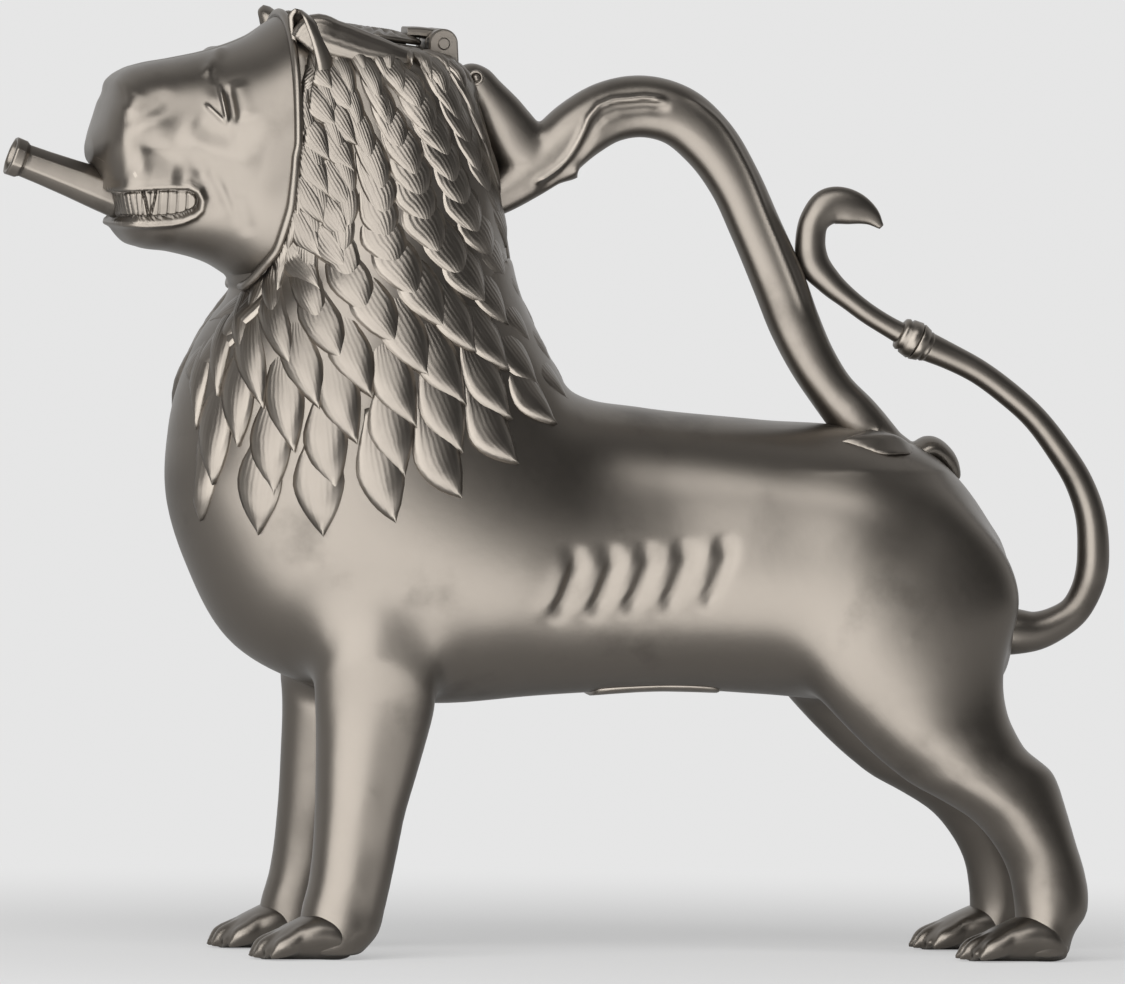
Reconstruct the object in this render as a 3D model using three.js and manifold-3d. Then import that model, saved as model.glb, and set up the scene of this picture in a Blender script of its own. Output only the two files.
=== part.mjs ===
// A lion aquamanile: a hollow cast copper-alloy water jug in the shape of a standing lion.
// Water goes in under the hinged lid on the crown and pours from the tube in the mouth.
// Millimetres. +X points to the tail, +Y to the lion's right side, +Z up, and the paws stand on z = 0.
import * as THREE from "three";
import Module from "manifold-3d";
import { mergeVertices } from "three/addons/utils/BufferGeometryUtils.js";

const wasm = await Module();
wasm.setup();

// Driving dimensions
const WALL = 2.6; // thickness of the hollow castings
const JOINT_GAP = 0.3; // brazing gap between two castings
const HINGE_GAP = 0.5; // running gap between the lid and the hinge lugs

const BARREL_WIDTH = 65; // across the ribs
const CHEST_WIDTH = 82; // across the mane at the shoulders
const NECK_WIDTH = 62; // across the mane behind the jaw
const HEAD_WIDTH = 58; // across the cheeks
const MUZZLE_WIDTH = 43; // across the lips
const RUMP_WIDTH = 58; // across the hips

const TUFT_HEIGHT = 1.7; // how far a lock of the mane stands out of its valleys
const TUFT_DROOP = 0.48; // how far its ridge leans to its tip, as a share of the way to the next row
const TUFTS_AROUND = 20;
const RIDGE_RADIUS = 1.5; // the raised cord that frames the face

const LEG_TENON_RADIUS = 5;
const HAUNCH_TENON = [94, 98]; // its middle, as [x, z] in the side view
const SHOULDER_TENON = -54; // its middle, as x in the view from below
const SHOULDER_SPREAD = 23.5; // middle of a leg from the middle of the body, at the top
const PAW_SPREAD = 30; // the same at the sole
const PAW_WIDTH = 20;
const TOE_RADIUS = 2.9;
const TOES = 4;

const FILLER_LENGTH = 24; // the hole in the crown, from front to back
const FILLER_WIDTH = 20;
const CROWN_TILT = 7.5; // the crown falls towards the tail, in degrees
const CROWN_DEPTH = 20; // from the lid's seat down to the seam between crown and neck
const NECK_SEAM = 177; // height of the seam between neck and chest
const SEAT_WIDTH = 3; // the flat rim round the hole, under the lid's edge
const LID_EDGE = 1.4; // thickness of the lid at its edge
const LID_DOME = 1.6; // how far its middle rises above that
const LID_PLUG_DEPTH = 3;
const LID_PLUG_GAP = 1;
const HINGE_RADIUS = 4;
const HINGE_PIN_RADIUS = 1.7;
const HINGE_PIN_GAP = 0.08;
const LID_KNUCKLE_WIDTH = 9;
const HINGE_LUG_WIDTH = 4.5;

const MOUTH_DEPTH = 1.6; // from the lips to the gums
const TOOTH_RELIEF = 1.2; // how far the teeth stand out of the gums
const TEETH = 9; // on one side of a jaw, with the fang
const LIP_WIDTH = 1.6;
const LIP_RELIEF = 0.7;

const SPOUT_TIP_RADIUS = 4.8;
const SPOUT_ROOT_RADIUS = 6.2;
const SPOUT_BORE_RADIUS = 3.6;
const SPOUT_LIP_LENGTH = 2.6; // the thick end of the tube
const SPOUT_LENGTH = 44; // 18 mm of it are inside the head
const SPOUT_SLOPE = 20; // degrees above the horizon

const HANDLE_TENON_RADIUS = 3.5;
const TAIL_TENON_RADIUS = 3;
const TAIL_PEG_RADIUS = 2.2; // joins the two lengths of the tail inside the knop
const TAIL_PEG_LENGTH = 6;

const PLATE_LENGTH = 36; // the plate that closes the core hole in the belly
const PLATE_WIDTH = 20;

// Places that several pieces share, as [x, z] in the lion's middle plane.
const FILLER_CENTRE = [-55, 247.2]; // at the height of the lid's underside
const HINGE_AXIS = [-35.5, 246];
const SPOUT_TIP = [-152, 214.8];
const KNOP = [98, 166.2];
const KNOP_LEAN = 25; // the tail's cross-section at the knop, in degrees from upright
const TAIL_ROOT = [124, 88.4];
const HANDLE_FOOT = [83, 143];

const BRONZE = { color: 0x4a4138, roughness: 0.38, metalness: 1 };
const PALE_BRONZE = { color: 0x5b5044, roughness: 0.42, metalness: 1 };

// Shaping helpers
const radians = THREE.MathUtils.degToRad;

// The faces turned so that they look outwards.
function facingOut(points, faces) {
  const area = new THREE.Vector3();
  let volume = 0;
  for (let i = 0; i < faces.length; i += 3) {
    const [a, b, c] = [points[faces[i]], points[faces[i + 1]], points[faces[i + 2]]];
    volume += area.crossVectors(a, b).dot(c);
  }
  if (volume < 0) for (let i = 0; i < faces.length; i += 3) [faces[i], faces[i + 1]] = [faces[i + 1], faces[i]];
  return faces;
}

// A closed skin over rings of points, with a fan at each end. Every other square between the rings
// is split along its other diagonal when the skin is quilted.
function skin(rings, quilted = false) {
  const sides = rings[0].length;
  const points = rings.flat();
  const faces = [];
  for (let r = 0; r + 1 < rings.length; r++) {
    for (let i = 0; i < sides; i++) {
      const a = r * sides + i;
      const b = r * sides + ((i + 1) % sides);
      const [c, d] = [a + sides, b + sides];
      if (quilted && (i + r) % 2 === 0) faces.push(a, b, d, a, d, c);
      else faces.push(a, b, c, b, d, c);
    }
  }
  const middle = (ring) => ring.reduce((sum, p) => sum.add(p), new THREE.Vector3()).divideScalar(sides);
  const first = points.push(middle(rings[0])) - 1;
  const end = points.push(middle(rings.at(-1))) - 1;
  const lastRing = (rings.length - 1) * sides;
  for (let i = 0; i < sides; i++) {
    const next = (i + 1) % sides;
    faces.push(first, next, i, end, lastRing + i, lastRing + next);
  }
  const made = new THREE.BufferGeometry().setFromPoints(points);
  made.setIndex(facingOut(points, faces));
  made.computeVertexNormals();
  return made;
}

// Rings of oval section standing on rows of [x, y, z, half height, half width, lean, squareness].
// Lean is in degrees: the section's height points up at 0 and towards +X at 90. Squareness 2 is an ellipse.
function ovals(rows, sides) {
  return rows.map(([x, y, z, high, wide, lean, square]) => {
    const up = new THREE.Vector3(Math.sin(radians(lean)), 0, Math.cos(radians(lean)));
    return Array.from({ length: sides }, (_, i) => {
      const turn = (2 * Math.PI * i) / sides;
      const bent = (v) => Math.sign(v) * Math.abs(v) ** (2 / square);
      return new THREE.Vector3(x, y + wide * bent(Math.sin(turn)), z).addScaledVector(up, high * bent(Math.cos(turn)));
    });
  });
}

// A rod of oval section along rows of [x, z, half height, half width] in the middle plane, or in a plane beside it.
function rod(rows, sides, y = 0) {
  const lean = (i) => {
    const [before, after] = [rows[Math.max(i - 1, 0)], rows[Math.min(i + 1, rows.length - 1)]];
    return THREE.MathUtils.radToDeg(Math.atan2(after[1] - before[1], before[0] - after[0]));
  };
  return skin(ovals(rows.map(([x, z, high, wide], i) => [x, y, z, high, wide, lean(i), 2]), sides));
}

// The geometry with each point moved out along its normal.
function swollen(geometry, amount) {
  const made = geometry.clone();
  const [at, normal] = [made.attributes.position, made.attributes.normal];
  const [point, step] = [new THREE.Vector3(), new THREE.Vector3()];
  for (let i = 0; i < at.count; i++) {
    point.fromBufferAttribute(at, i).addScaledVector(step.fromBufferAttribute(normal, i), amount);
    at.setXYZ(i, point.x, point.y, point.z);
  }
  return made;
}

// A geometry as a solid that can be joined and cut.
function solid(geometry) {
  const bare = geometry.clone();
  bare.deleteAttribute("normal");
  bare.deleteAttribute("uv");
  const merged = mergeVertices(bare, 1e-4);
  const vertProperties = new Float32Array(merged.attributes.position.array);
  const triVerts = new Uint32Array(merged.index.array);
  return new wasm.Manifold(new wasm.Mesh({ numProp: 3, vertProperties, triVerts }));
}

const joined = (...solids) => solids.reduce((sum, next) => sum.add(next));
const cut = (from, ...solids) => solids.reduce((rest, next) => rest.subtract(next), from);

// The largest separate body of a solid: what is left of a piece outside the casting that it meets.
const mainBody = (made) => made.decompose().reduce((a, b) => (a.volume() > b.volume() ? a : b));

function box(low, high) {
  const size = high.map((v, i) => v - low[i]);
  const made = new THREE.BoxGeometry(...size);
  made.translate(...low.map((v, i) => v + size[i] / 2));
  return solid(made);
}

// An outline in the middle plane, as [x, z] points, carried across the lion from -reach to reach.
function across(outline, reach) {
  const shape = new THREE.Shape(outline.map(([x, z]) => new THREE.Vector2(x, z)));
  const made = new THREE.ExtrudeGeometry(shape, { depth: 2 * reach, bevelEnabled: false });
  made.rotateX(Math.PI / 2);
  made.translate(0, reach, 0);
  return solid(made);
}

// An upright oval column.
function column([x, y], halfLength, halfWidth, low, high, sides = 36) {
  const made = new THREE.CylinderGeometry(1, 1, high - low, sides);
  made.rotateX(Math.PI / 2);
  made.scale(halfLength, halfWidth, 1);
  made.translate(x, y, (low + high) / 2);
  return solid(made);
}

// A round bar along Y through [x, z].
function crossBar([x, z], radius, from, to, sides = 20) {
  const made = new THREE.CylinderGeometry(radius, radius, to - from, sides);
  made.translate(x, (from + to) / 2, z);
  return solid(made);
}

// A round bar between two points of the middle plane.
function bar([x0, z0], [x1, z1], radius, endRadius = radius, sides = 16) {
  const length = Math.hypot(x1 - x0, z1 - z0);
  const made = new THREE.CylinderGeometry(endRadius, radius, length, sides);
  made.translate(0, length / 2, 0);
  made.applyQuaternion(
    new THREE.Quaternion().setFromUnitVectors(
      new THREE.Vector3(0, 1, 0),
      new THREE.Vector3((x1 - x0) / length, 0, (z1 - z0) / length),
    ),
  );
  made.translate(x0, 0, z0);
  return solid(made);
}

// Trunk: rump, barrel, chest, neck and crown
// One skin whose sections turn from upright at the rump to nearly flat at the crown.
const BODY_SIDES = 26;
const HOLLOW_SIDES = 16;
const MANE_SIDES = 2 * TUFTS_AROUND;
const barrel = BARREL_WIDTH / 2;
const chest = CHEST_WIDTH / 2;
const neck = NECK_WIDTH / 2;
const rump = RUMP_WIDTH / 2;
const TRUNK = [
  [124.5, 0, 90, 7, 7, 0, 2],
  [122.5, 0, 92.5, 17, rump * 0.6, 0, 2],
  [117.5, 0, 95, 23.3, rump * 0.84, 0, 2.1],
  [105, 0, 101.3, 32.3, rump, 0, 2.2],
  [83, 0, 105.5, 36.9, barrel * 0.97, 0, 2.2],
  [55.4, 0, 107.8, 37.1, barrel * 0.98, 0, 2.2],
  [22.3, 0, 109.8, 38.2, barrel, 0, 2.2],
  [-1.9, 0, 110, 41.3, barrel * 1.04, 12, 2.2],
  [-16.9, 0, 110.5, 46.4, chest * 0.9, 23, 2.15],
  [-32, 0, 114.2, 53, chest * 0.96, 35, 2.1],
  [-47, 0, 123.4, 58.1, chest, 47, 2.05],
  [-54.6, 0, 136.4, 57.2, chest, 56, 2],
  [-59.1, 0, 149.2, 54.9, chest * 0.98, 63, 2],
  [-60, 0, 161.3, 51, chest * 0.93, 68, 2],
  [-59.6, 0, 172.1, 47.8, (chest + neck) / 2, 69, 2],
  [-57.2, 0, 183.6, 44.2, neck * 1.08, 69, 2],
  [-53.9, 0, 193.8, 39.4, neck * 1.02, 68, 2],
  [-52.6, 0, 206, 35, neck, 69, 2],
  [-53, 0, 219, 31, neck * 0.96, 73, 2.1],
  [-52.5, 0, 230, 27.5, neck * 0.88, 80, 2.2],
  [-52.5, 0, 239, 24, neck * 0.74, 88, 2.3],
  [-53, 0, 244.5, 19, neck * 0.55, 96, 2.3],
  [-54, 0, 246.5, 10, neck * 0.27, 98, 2.2],
];
const FIRST_MANE_ROW = 8; // the first row of TRUNK that the mane covers
const trunk = skin(ovals(TRUNK, BODY_SIDES));

// The mane: locks in staggered rows. The middle of each lock is a raised point that leans towards
// the lock's tip, and the points round it lie low.
const maneRows = TRUNK.slice(FIRST_MANE_ROW);
const smoothMane = skin(ovals(maneRows, MANE_SIDES));
function maneWithTufts() {
  const [at, normal] = [smoothMane.attributes.position, smoothMane.attributes.normal];
  const point = (i) => new THREE.Vector3().fromBufferAttribute(at, i);
  const lock = (r, i) => {
    const index = r * MANE_SIDES + i;
    const isRidge = (i + r) % 2 === 1;
    const made = point(index);
    if (isRidge && r > 0) made.lerp(point(index - MANE_SIDES), TUFT_DROOP);
    const relief = isRidge ? TUFT_HEIGHT : 0;
    return made.addScaledVector(new THREE.Vector3().fromBufferAttribute(normal, index), relief);
  };
  return skin(maneRows.map((_, r) => Array.from({ length: MANE_SIDES }, (_, i) => lock(r, i))), true);
}
const mane = maneWithTufts();

// Head
const cheek = HEAD_WIDTH / 2;
const lips = MUZZLE_WIDTH / 2;
const HEAD = [
  [-130.6, 0, 216.4, 3.2, lips * 0.3, 0, 2.2],
  [-128.5, 0, 217.5, 7.3, lips * 0.62, 0, 2.4],
  [-127, 0, 218.1, 11.6, lips * 0.76, 0, 2.5],
  [-124, 0, 216.5, 20, lips * 0.93, 0, 2.7],
  [-121, 0, 215.3, 23.2, lips * 0.985, 0, 2.7],
  [-117, 0, 215.1, 24.7, lips, 0, 2.7],
  [-108.7, 0, 215.3, 26.1, lips * 1.04, 0, 2.6],
  [-98, 0, 215, 28.8, lips * 1.16, 0, 2.4],
  [-88, 0, 214, 33.5, cheek * 0.95, 0, 2.3],
  [-78, 0, 215.9, 37.4, cheek, 0, 2.2],
  [-66, 0, 213, 37, cheek, 0, 2.1],
  [-54, 0, 208, 30, cheek * 0.9, 0, 2],
  [-46, 0, 207, 18, cheek * 0.5, 0, 2],
];
const HEAD_SIDES = 24;
const head = skin(ovals(HEAD, HEAD_SIDES));

// The water space: the same skins with fewer sides, one wall inwards.
const everyOther = (rows) => rows.filter((_, i) => i % 2 === 0);
const innerTrunk = skin(ovals(everyOther(TRUNK), HOLLOW_SIDES));
const innerHead = skin(ovals(everyOther(HEAD), HOLLOW_SIDES));
const hollow = joined(solid(swollen(innerTrunk, -WALL)), solid(swollen(innerHead, -WALL)));

// Points along the mouth's edge in the side view, from the front of the upper lip round its corner.
const MOUTH = [
  [-140, 205.6],
  [-124, 205.4],
  [-112, 206.2],
  [-105.5, 205.4],
  [-103.4, 202.6],
  [-105.6, 199.6],
  [-112, 197.6],
  [-124, 197.4],
  [-140, 197.6],
];
const TEETH_START = -127.5;
const TEETH_END = -106;
const FANG = 3; // the place of the fang in the row, counted from the front
// The same outline one lip further out.
const mouthMiddle = 201.5;
const lipOutline = MOUTH.map(([x, z]) => [x + LIP_WIDTH * (x > -104 ? 1 : 0.5), z + LIP_WIDTH * Math.sign(z - mouthMiddle)]);
const underSkin = (depth) => solid(swollen(head, -depth));

// The teeth stand on the gums in one row that fills the open mouth, with a long pointed fang.
function teeth() {
  const pitch = (TEETH_END - TEETH_START) / TEETH;
  const grooves = Array.from({ length: TEETH - 1 }, (_, i) => {
    const x = TEETH_START + (i + 1) * pitch;
    const slant = i === FANG - 1 ? 1 : i === FANG ? -1 : 0;
    return across(
      [
        [x - 0.25 + slant * 0.9, 196],
        [x + 0.25 + slant * 0.9, 196],
        [x + 0.25, 208],
        [x - 0.25, 208],
      ],
      FAR,
    );
  });
  const inside = MOUTH.map(([x, z]) => [x - 0.6, z + 0.6 * Math.sign(mouthMiddle - z)]);
  return cut(underSkin(MOUTH_DEPTH - TOOTH_RELIEF).intersect(across(inside, FAR)), ...grooves);
}

// Eyes, brows and nostrils
// Half the width at [x, z] of a skin whose sections stand upright, from the oval's formula between two rows.
function halfWidth(rows, x, z) {
  const next = rows.findIndex((row, i) => i > 0 && (row[0] - x) * (rows[i - 1][0] - x) <= 0);
  const share = (x - rows[next - 1][0]) / (rows[next][0] - rows[next - 1][0]);
  const between = rows[next].map((v, i) => THREE.MathUtils.lerp(rows[next - 1][i], v, share));
  const [, , middle, high, wide, , square] = between;
  return wide * (1 - Math.abs((z - middle) / high) ** square) ** (1 / square);
}

// A thin rod that lies on a skin along a line of [x, z] points and comes to a point at both ends.
function seam(rows, line, radius, proud, side) {
  const stations = line.map(([x, z], i) => {
    const r = radius * Math.max(0.15, Math.sin((Math.PI * i) / (line.length - 1)));
    return [x, side * (halfWidth(rows, x, z) + proud), z, r, r, 90, 2];
  });
  return solid(skin(ovals(stations, 6)));
}

// An egg on the head's skin: its place, half length, half height and thickness, turned in the side view.
function egg([x, z], long, high, thick, proud, turn, side) {
  const made = new THREE.SphereGeometry(1, 8, 5);
  made.scale(long, thick, high);
  made.rotateY(radians(turn));
  made.translate(x, side * (halfWidth(HEAD, x, z) + proud), z);
  return solid(made);
}
const EYE = [-99.4, 229.6];
const NOSTRIL = [-124.2, 230.8];
const BROW = [[-93.4, 244.6], [-97, 241.6], [-100.4, 238.4], [-103.6, 234.8]];
const NOSE_GROOVE = [[-125.4, 224.6], [-121.6, 225], [-116.4, 228], [-111.8, 232.6]];
const eyeSocket = (side) => egg(EYE, 6.2, 4.4, 2.2, 1, 30, side);
const eyeball = (side) => egg(EYE, 3.6, 2.9, 1.8, -0.9, 30, side);
const nostril = (side) => egg(NOSTRIL, 1.7, 1.9, 1.8, 0.2, 0, side);
const brow = (side) => seam(HEAD, BROW, 1.5, 0, side);
const noseGroove = (side) => seam(HEAD, NOSE_GROOVE, 1.4, 0.5, side);

// Ribs: shallow crescents cut into the flanks
const RIB_LINES = [
  [[-1.2, 111], [-2.4, 104.5], [-4.6, 98], [-8, 91.5]],
  [[8.5, 111.5], [7.7, 105], [5.8, 98.6], [2.2, 92]],
  [[18.1, 112], [17.3, 105.6], [15.3, 99.2], [11.5, 92.6]],
  [[27.7, 112.5], [27, 106], [25.2, 99.8], [22, 93.2]],
  [[38.8, 113], [38.1, 106.8], [36.3, 100.6], [33, 94]],
];
const ribGroove = (line, side) => seam(TRUNK, line, 2.2, 0.9, side);

// Seams between the castings
const FAR = 400; // beyond the lion on every side
// The lower edge of the mane, from the chest over the shoulder to the withers.
const MANE_EDGE = [
  [-FAR, 122],
  [-112, 122],
  [-92, 114],
  [-74, 110],
  [-56, 110.5],
  [-38, 119],
  [-14, 131],
  [2, 147],
  [14, 165],
  [20, 240],
];
// The frame of the face, from the crown down behind the cheek to the chest.
const FACE_EDGE = [
  [-79, FAR],
  [-79, 214],
  [-82, 200],
  [-87, 190],
  [-93, 180.5],
  [-100, 171],
  [-107, 164],
  [-125, 158],
  [-FAR, 158],
];
const moved = (outline, dx, dz) => outline.map(([x, z]) => [x + dx, z + dz]);
const maneShift = JOINT_GAP * 1.2; // keeps JOINT_GAP square to an edge that runs at a slant
const bodySide = across([...MANE_EDGE, [20, FAR], [FAR, FAR], [FAR, -FAR], [-FAR, -FAR]], FAR);
const behindBody = across([...moved(MANE_EDGE, -maneShift, maneShift), [20, FAR], [FAR, FAR], [FAR, -FAR], [-FAR, -FAR]], FAR);
const faceSide = across([...FACE_EDGE, [-FAR, FAR]], FAR);
const aheadOfMane = across([...moved(FACE_EDGE, maneShift, -maneShift / 3), [-FAR, FAR]], FAR);

// Legs
const LEFT = -1;
const RIGHT = 1;
const spreadAt = (z) => PAW_SPREAD + (SHOULDER_SPREAD - PAW_SPREAD) * Math.min(z / 68, 1);

// Rows of [x, z, half length along X, half width] down a leg, in level sections.
const FORE_LEG = [
  [-50, 108, 12, 8],
  [-53, 98, 19, 12.5],
  [-54.6, 84, 18, 13.5],
  [-54.8, 68, 16.3, 12],
  [-57, 52, 14.1, 10.5],
  [-59.3, 38, 12.2, 9.6],
  [-62.2, 20, 11.2, 8.8],
  [-64.1, 12.5, 11.3, 8.7],
  [-65.2, 7, 10.8, 9],
  [-69, -0.5, 8, 9.2],
  [-70, -2, 7.5, 9.2],
];
const HIND_LEG = [
  [86, 126, 18, 6],
  [88, 112, 30, 12],
  [90, 96, 33.5, 15],
  [89.2, 82, 29.7, 15.2],
  [91.8, 72, 26.8, 14.2],
  [99.5, 60.5, 22.5, 12.9],
  [106.1, 54, 21.9, 12],
  [112.5, 48, 20.5, 11.4],
  [118, 43, 16.6, 10.9],
  [122.8, 38, 13.3, 10.3],
  [126.4, 32, 11.4, 9.7],
  [129.5, 25, 10.5, 9],
  [131, 17, 10.2, 8.7],
  [130.9, 12.5, 9.7, 8.7],
  [129.3, 8, 8.1, 8.8],
  [127.7, -2, 7.2, 9.2],
];
const LEG_SIDES = 10;
function leg(rows, side) {
  const placed = rows.map(([x, z, long, wide]) => [x, side * spreadAt(z), z, long, wide, 90, 2.1]);
  return solid(skin(ovals(placed, LEG_SIDES)));
}

// The foot in front of the leg: a low wedge and the toes that fan out of it.
function paw(heel, toe, side) {
  const middle = side * PAW_SPREAD;
  const length = heel - toe;
  const wide = PAW_WIDTH / 2;
  const along = (share) => heel - share * length;
  const wedge = [
    [along(0), middle, 4, 4, wide * 0.6, 0, 2.2],
    [along(0.1), middle, 6, 6, wide * 0.8, 0, 2.2],
    [along(0.3), middle, 6, 6, wide * 0.94, 0, 2.2],
    [along(0.5), middle, 4.6, 4.4, wide * 0.98, 0, 2.2],
    [along(0.65), middle, 3.8, 4, wide * 0.96, 0, 2.2],
    [along(0.8), middle, 2.8, 3, wide * 0.9, 0, 2.2],
    [along(0.92), middle, 1.8, 2, wide * 0.78, 0, 2.2],
  ];
  const toes = Array.from({ length: TOES }, (_, i) => {
    const off = (i - (TOES - 1) / 2) / (TOES - 1); // -0.5 to 0.5 across the paw
    const reach = 1 - 0.32 * off * off * 4 * 0.5; // the outer toes are shorter
    const y = (share) => middle + off * PAW_WIDTH * (0.62 + 0.24 * share);
    const rows = [
      [along(0.3), y(-0.3), 7.4, TOE_RADIUS * 0.8, TOE_RADIUS * 0.8, 0, 2],
      [along(0.45), y(0), 6, TOE_RADIUS * 0.95, TOE_RADIUS * 0.9, -10, 2],
      [along(0.68 * reach), y(0.5), 4.4, TOE_RADIUS, TOE_RADIUS * 0.94, -25, 2],
      [along(0.9 * reach), y(0.9), 2.4, TOE_RADIUS * 0.72, TOE_RADIUS * 0.7, -15, 2],
      [along(reach), y(1), 0.9, TOE_RADIUS * 0.2, TOE_RADIUS * 0.14, 0, 2],
    ];
    return solid(skin(ovals(rows, 5)));
  });
  return joined(solid(skin(ovals(wedge, 8))), ...toes);
}

const FORE_PAW = { heel: -62.5, toe: -90 };
const HIND_PAW = { heel: 134.5, toe: 104.3 };
const floorCut = box([-FAR, -FAR, -FAR], [FAR, FAR, 0]);

// Each limb is cast on to the barrel and held by a tenon that ends flush with the inside of its wall.
// The foreleg's stands upright and the hind leg's lies across the lion.
function shoulderTenon(side, grow) {
  const radius = LEG_TENON_RADIUS + grow;
  return column([SHOULDER_TENON, side * SHOULDER_SPREAD], radius, radius, 60, 110, 20).subtract(hollow);
}
function haunchTenon(side, grow) {
  const reach = SHOULDER_SPREAD + LEG_TENON_RADIUS * 2;
  const [from, to] = side === LEFT ? [-reach, 0] : [0, reach];
  return crossBar(HAUNCH_TENON, LEG_TENON_RADIUS + grow, from, to, 20).subtract(hollow);
}
function limb(rows, foot, tenon, side) {
  const outside = cut(joined(leg(rows, side), paw(foot.heel, foot.toe, side)), floorCut, grownBody, grownMane);
  return joined(mainBody(outside), tenon(side, 0));
}

// The four hollow castings
const sides = [LEFT, RIGHT];
const legHoles = [shoulderTenon, haunchTenon].flatMap((tenon) => sides.map((side) => tenon(side, JOINT_GAP)));
const bodyOuter = solid(trunk);
const grownBody = solid(swollen(trunk, JOINT_GAP));
const grownMane = joined(solid(swollen(mane, JOINT_GAP)), solid(swollen(head, JOINT_GAP)));

const maneOuter = joined(solid(mane), solid(head).subtract(faceSide));
const faceOuter = joined(solid(head), solid(trunk));

// The raised cord along the front edge of the mane, over the crown and down both sides of the face.
function faceRidge() {
  const rail = FACE_EDGE.slice(0, -1).map(([x, z]) => [x + maneShift, z]);
  const strip = [...rail, ...moved(rail, 2 * RIDGE_RADIUS, 0).reverse()];
  const proud = joined(solid(swollen(trunk, TUFT_HEIGHT + RIDGE_RADIUS)), solid(swollen(head, RIDGE_RADIUS)));
  return proud.intersect(across(strip, FAR));
}

// Filling hole, lid and hinge
// What sits on the crown is drawn level, round its own middle, and then tilted into place.
const [fillerX, fillerZ] = FILLER_CENTRE;
const onCrown = (geometry) => solid(geometry.rotateY(radians(CROWN_TILT)).translate(fillerX, 0, fillerZ));
const CROWN_SIDES = 24;
// A stack of level ovals, as rows of [height, half length, half width].
const dish = (rows) => onCrown(skin(ovals(rows.map(([z, long, wide]) => [0, 0, z, long, wide, 90, 2]), CROWN_SIDES)));
const holeHalves = (grow) => [FILLER_LENGTH / 2 + grow, FILLER_WIDTH / 2 + grow];
const straight = (low, high, grow) => dish([[low, ...holeHalves(grow)], [high, ...holeHalves(grow)]]);
const seatTop = -JOINT_GAP;
const lidTop = LID_EDGE + LID_DOME;
const filler = straight(-15, 20, 0);
const seat = straight(-6, seatTop, SEAT_WIDTH);
const lidRoom = straight(seatTop, 20, SEAT_WIDTH + HINGE_GAP);
const knuckleHalf = LID_KNUCKLE_WIDTH / 2;
const lugInner = knuckleHalf + HINGE_GAP;
const lugOuter = lugInner + HINGE_LUG_WIDTH;

// Each lug is a disc on a foot that runs down into the crown.
function hingeLug(side) {
  const [x, z] = HINGE_AXIS;
  const [from, to] = side === LEFT ? [-lugOuter, -lugInner] : [lugInner, lugOuter];
  const foot = box([x - HINGE_RADIUS, from, z - 9], [x + HINGE_RADIUS, to, z]);
  return joined(crossBar(HINGE_AXIS, HINGE_RADIUS, from, to), foot);
}
const pinHole = crossBar(HINGE_AXIS, HINGE_PIN_RADIUS + HINGE_PIN_GAP, -lugOuter - 1, lugOuter + 1);
const knuckleRoom = crossBar(HINGE_AXIS, HINGE_RADIUS + HINGE_GAP, -lugInner, lugInner);
const hingePin = crossBar(HINGE_AXIS, HINGE_PIN_RADIUS, -lugOuter - 0.6, lugOuter + 0.6);

// The strap from the lid's cover to its knuckle, or the room that it needs in the crown.
function lidArm(grow, top) {
  const [x, z] = HINGE_AXIS;
  const start = fillerX + FILLER_LENGTH / 2 + SEAT_WIDTH - 5;
  const under = [[start, z + 0.6 - grow], [x, z - HINGE_RADIUS / 2 - grow]];
  return across([...under, [x, z + top], [start, z + top - 1]], knuckleHalf + grow);
}

function lid() {
  const [long, wide] = holeHalves(SEAT_WIDTH);
  const cover = dish([
    [0, long - 0.5, wide - 0.5],
    [LID_EDGE * 0.4, long, wide],
    [LID_EDGE, long, wide],
    [LID_EDGE + LID_DOME * 0.6, long * 0.76, wide * 0.76],
    [lidTop, long * 0.3, wide * 0.3],
  ]);
  const plug = straight(-LID_PLUG_DEPTH, LID_EDGE / 2, -LID_PLUG_GAP);
  const arm = lidArm(0, HINGE_RADIUS);
  const knuckle = crossBar(HINGE_AXIS, HINGE_RADIUS, -knuckleHalf, knuckleHalf);
  return cut(joined(cover, plug, arm.subtract(straight(-20, 0, 1)), knuckle), pinHole);
}

// A pricked ear: a pointed cup whose hollow faces forward.
function ear(side) {
  const rows = [
    [-69, side * 19.5, 232, 7, 8.5, 78, 2],
    [-71.5, side * 20.6, 240, 6.6, 8, 78, 2],
    [-74.5, side * 22, 246.6, 5.4, 6.8, 80, 2],
    [-76.8, side * 23.2, 251.4, 3.8, 4.6, 82, 2],
    [-78.2, side * 23.9, 254.6, 1.6, 1.8, 84, 2],
  ];
  const hollowRows = rows
    .slice(1)
    .map(([x, y, z, high, wide, lean, square]) => [x - 4.6, y + side * 0.6, z + 0.4, high * 0.78, wide * 0.62, lean, square]);
  return cut(solid(skin(ovals(rows, 12))), solid(skin(ovals(hollowRows, 8))), lidRoom);
}

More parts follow.
